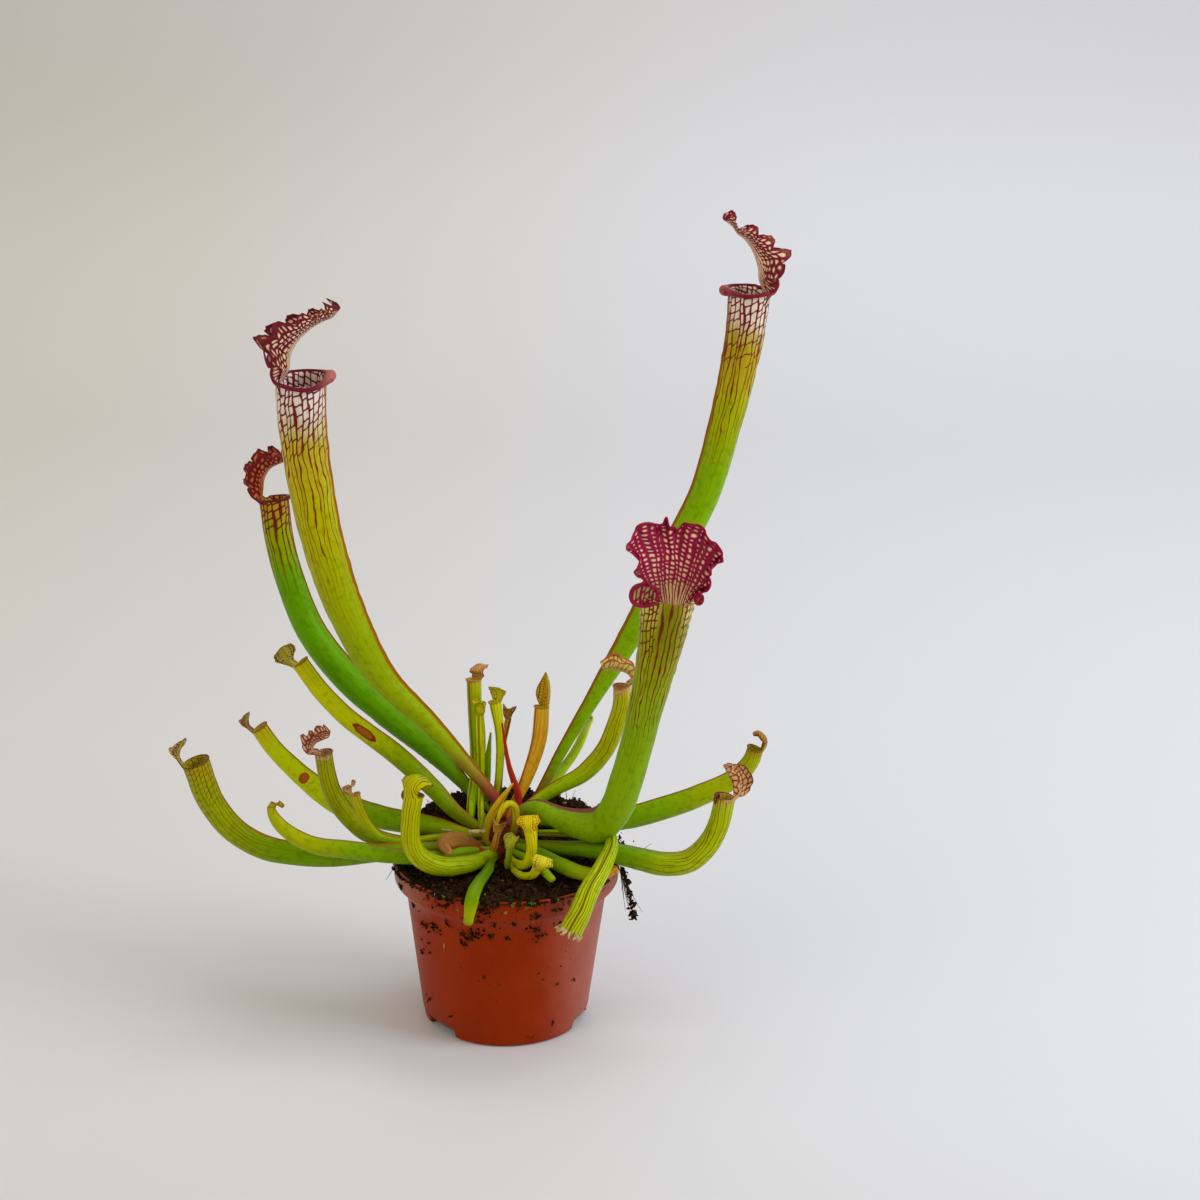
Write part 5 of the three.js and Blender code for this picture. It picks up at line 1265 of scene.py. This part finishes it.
small_ones = [
    (Leaf("pitcher_left_small",
          [(-9, -1, 75), (-18, -5, 77), (-30, -9, 77), (-39, -11, 76.5), (-48, -12, 78), (-53, -12, 83),
           (-56, -12, 89), (-58, -12, 96)],
          [2, 2.4, 2.6, 2.8, 3.2, 3.6, 3.6, 3.6], (-25, -10, 120), [0, 0.2, 0.3, 0.3, 0.3, 0.3, 0.2, 0.1],
          lip=0.4, deep=12),
     "green_pitcher", FLAP_LID, "b8ac20 b4b800 8cac00 848400 7a4018 7c5410 a8704c 8a5410 c89c64"),
    (Leaf("pitcher_back_tall",
          [(-10, 9, 71), (-15, 10, 75), (-15, 12.5, 80), (-14.5, 15.5, 86), (-14, 20.5, 91.5),
           (-14, 27, 101), (-14.5, 30, 113), (-15, 31, 129)],
          [2.6, 3.6, 4, 4.2, 4.8, 5.4, 5.8, 6], (-40, 0, 150), [0, 0.1, 0.2, 0.3, 0.4, 0.3, 0.2], lip=0.6,
          deep=25),
     "green_pitcher", FLAT_RIM, "b8b420 b0c000 a0cc00 98b800 7a3010 7c5008 b8704c 8a5c14 d09060"),
    (Leaf("pitcher_back_short",
          [(-8, 7, 72), (-10.5, 9, 76), (-11, 11.5, 81), (-11, 14, 86), (-11.3, 18.5, 90.5),
           (-11.7, 23.5, 102), (-12.2, 24.5, 117)],
          [1.8, 2.4, 2.6, 2.6, 3.2, 3.8, 3.8, 3.2], (-20, 0, 150), [0, 0.1, 0.2, 0.2, 0.2, 0.1], lip=0.3,
          deep=8),
     "green_pitcher", FLAP_LID, "e0dc20 e4ec10 c0dc00 98b800 8a5c10 8c7008 b09820 8a7c14"),
    (Leaf("pitcher_flared",
          [(-4, 12, 75), (-6.5, 15, 77.5), (-4.5, 18, 91), (-4, 21, 109), (-6, 22, 123)],
          [1.8, 2.4, 2.8, 3.2, 4, 5], (-30, 0, 140), [0, 0.2, 0.3, 0.3, 0.2, 0.1], lip=0.8, deep=14),
     "green_pitcher", FLARED_LID, "d4cc28 d0d810 b0c400 8ca000 5a2c08 7c6008 a88c24 8a7c14"),
    (Leaf("pitcher_unopened",
          [(0, 9, 78), (2, 12, 83), (4.5, 15.5, 87), (8, 19, 95), (11.5, 22, 107), (12.5, 24, 120.5)],
          [3, 4, 5, 5.8, 6.2, 6], (-20, 0, 140), [0, 0.2, 0.4, 0.5, 0.4, 0.2], lip=0.5, deep=12),
     "amber_pitcher", POINTED_LID, "d0b824 e0a828 dca41c c4701c 9a3810 9a3810 a87c1c 9a4a14"),
    (Leaf("pitcher_front_yellow",
          [(2, -9, 70), (5, -16, 70), (8.5, -22, 73), (10.5, -24, 79), (10.5, -24.5, 84), (10, -24, 88)],
          [2.4, 3.2, 3.6, 3.8, 4.2, 5], (12, 20, 110), [0, 0.1, 0.2, 0.2, 0.2, 0.1], lip=0.6, deep=12),
     "veined_pitcher", FLARED_LID, "d8cc14 d8e000 c0cc00 a0a800 a82408 a83408 c8941c 982008"),
    (Leaf("pitcher_front_short",
          [(1, -10, 68.5), (4, -19, 68.5), (8, -26, 69.5), (11.5, -28.5, 71.5), (13, -29, 74.5)],
          [2, 2.6, 2.8, 3, 3.8], (12, 20, 100), lip=0.5, deep=6),
     "amber_pitcher", FLARED_LID, "d8cc28 bcc400 9cac00 8ca000 8a5c10 94840c b0a02c 8a840c"),
    (Leaf("young_pitcher_curved",
          [(-6, -4, 72), (-8, -5, 75), (-7, -3, 82), (-3, 0, 89), (2, 2, 96)],
          [2.2, 3, 3.4, 2.8, 0.9], (20, -10, 78)),
     "green_pitcher", None, "ccac20 c8a414 b0a014 9c7c14 9c4c14 a86c14 a87c1c a86414"),
    (Leaf("young_pitcher_hooked",
          [(1, -1, 74), (2.5, -3, 78), (3.5, -5, 84), (3, -6, 90), (0.5, -7.5, 91.5), (-2, -8.5, 88.5),
           (-3.5, -9, 84)],
          [2.4, 3, 3.2, 3, 2.4, 1.4], (-20, -10, 60)),
     "veined_pitcher", None, "dccc1c d8d014 c4b810 a07c14 7c3c10 8a5010 9a7c18 8a4c14"),
    (Leaf("young_pitcher_amber",
          [(-3, -8, 70), (-6, -11, 71), (-4.5, -12, 75), (-3, -12.5, 81.5)],
          [1.8, 2.4, 2.8, 2.2], (10, -40, 90), lip=0.3, deep=5),
     "amber_pitcher", FLAP_LID, "c09038 bc8428 b07c1c a0641c 9a4c1c 9a541c b0703c 9a5a1c"),
    (Leaf("young_pitcher_pale",
          [(0, -10, 69), (1, -17, 69), (1.5, -20, 73), (2, -21, 79)],
          [1.6, 2, 2.4, 2.6], (0, 20, 100), lip=0.4, deep=5),
     "green_pitcher", FLAP_LID, "a8b428 8ca010 708400 8c9c10 8a6c20 8c8c10 b0ac40 8c8c14"),
    (Leaf("leaf_bud", [(-8, 2, 73), (-9.5, 1, 77), (-9, 1, 83.5)], [1.8, 2.6, 2.6, 1], (0, -40, 90)),
     "green_pitcher", None, "a8bc20 98b410 84a400 8a9c10 8a7c10 8a8c10 94a018 8a8c14"),
]
for leaf, slot, lid, tones in small_ones:
    skin = leaf_skin(leaf.name + "_tones", tones, cell=1.2, windows=(0, 6), greens=(8, 26), roots=(2, 16),
                     net=(-2, 0), turns=(0, 5), fades=(8, 26), wide=0.06, lines=0.12)
    put_pitcher(leaf, slot, skin, lid, THIN_LIP if lid else None, SMALL, 0)


# The flat leaves: blades without a mouth, one dark and upright at the back, the others lying out to
# the front and right. They are smooth green leaf, and the one on the right dies back from its tip.
blades = [
    (Leaf("leaf_back_blade",
          [(-6, 17, 72), (-9, 20.5, 75.5), (-9.5, 23, 86), (-9, 25.5, 97), (-8, 26.5, 108)],
          [2, 2.8, 3.4, 3.2, 2.2, 0.8], (0, -40, 120), flat=0.55),
     "green_blade", "8cb008 88b804 70a000 6c7c10 5a3008 4a4808 5a3810 5a4010"),
    (Leaf("leaf_red_spike",
          [(2.5, 8, 79), (4, 11, 86), (0, 14, 99), (-3, 16, 116)],
          [2.6, 3, 2.2, 1.4, 0.8], (0, -40, 100), flat=0.6),
     "red_stalk", "b4240c b42410 a8201c 8c1020 7a1010 8c1c10 9a1c14 9a1c14"),
    (Leaf("leaf_pale_blunt",
          [(6, 17, 76), (10, 21, 78.5), (14, 25, 83), (20, 31, 90), (26, 35, 98), (32, 38, 111)],
          [2.6, 3.6, 4.4, 4.6, 4.4, 3.2], (0, 10, 130), flat=0.6),
     "green_blade", "d4e464 bcd830 a8cc20 90ac20 7a6a20 7a8c14 8a9828 8a9828"),
    (Leaf("leaf_lying_right",
          [(4, -5, 73), (11, -10, 73), (21, -20, 72), (29, -26, 71.5), (37, -28, 71.5), (42, -25, 72.5)],
          [3, 5, 6.4, 6.6, 6, 4.4], (20, -30, 200), flat=0.85),
     "green_blade", "b87808 94a800 5e8a00 6c8400 8a5c10 5c7c08 b06c10 8a7c0c"),
    (Leaf("leaf_front_small",
          [(2, -7, 72), (6, -13, 72.5), (12.5, -20, 72), (16, -26, 71), (18.5, -30, 70.3)],
          [2.4, 3.2, 3.8, 4, 3.2], (10, -20, 200), flat=0.8),
     "green_blade", "8cac10 80a400 6c9400 6c8c00 7a6a10 5c7c08 8a8c14 8a8c14"),
    (Leaf("leaf_over_rim",
          [(-3, -8, 70), (-5, -14, 71), (-6, -24, 71), (-9, -37, 71), (-10.5, -44, 69.5),
           (-11.3, -47.5, 65.5), (-12, -48.6, 60.5)],
          [2.6, 3.4, 4, 4.6, 5, 5.2, 3.6], (-10, -80, 140), flat=0.45),
     "green_blade", "94a800 688c00 4c7800 5c7000 7a8a10 5c8008 8a9814 8a9414"),
]
for leaf, slot, tones in blades:
    skin = leaf_skin(leaf.name + "_tones", tones, cell=1.6, windows=(3, 10), greens=(10, 28),
                     roots=(0, 14), turns=(0, 2), fades=(0, 1), seam_to=0.3)
    bm = bmesh.new()
    add_tube(bm, leaf, 32, 1.2, None, 0.03)
    put(leaf.name + "_skin", bm, skin, slot, [leaf.name])


# The dead and bare bits in the crown: a browned pitcher at the back, a folded papery sheath and a
# thin bare red stalk.
dead_bits = [
    (Leaf("pitcher_withered_back",
          [(-2, 16, 74), (-4, 19.5, 77.5), (-4, 24, 89), (-3, 27, 103), (-1, 28, 114)],
          [1.6, 2, 2.2, 2.4, 2.6], (20, 0, 130), lip=0.4, deep=6),
     "withered", FLAP_LID, "c89040 b88030 9c6c28 7a4828 5a3420 6a4028 a86c24 6a4028"),
    (Leaf("sheath_withered",
          [(-7, -5, 71), (-13, -9.5, 76), (-20, -14, 79), (-23.5, -18.5, 78.5), (-21, -22.5, 77.2)],
          [1.4, 3, 6, 6.6, 3], (-20, -60, 120), flat=0.5),
     "withered", None, "a87438 9c6830 906028 6a4024 5a3420 6a4028 b88440 8a5c30"),
    (Leaf("stalk_red", [(-4, -9, 71), (-9, -11, 73), (-17, -7.5, 76.5)], [2.2, 2.2, 1.4], (0, 0, 120)),
     "red_stalk", None, "b43c24 a82c20 9c2020 8a1820 6a1018 7a1818 8c2020 7a1818"),
]
for leaf, slot, lid, tones in dead_bits:
    skin = leaf_skin(leaf.name + "_tones", tones, cell=1.2, windows=(0, 6), greens=(8, 26),
                     roots=(0, 10), turns=(0, 3), fades=(0, 1))
    put_pitcher(leaf, slot, skin, lid, None, SMALL, 0)
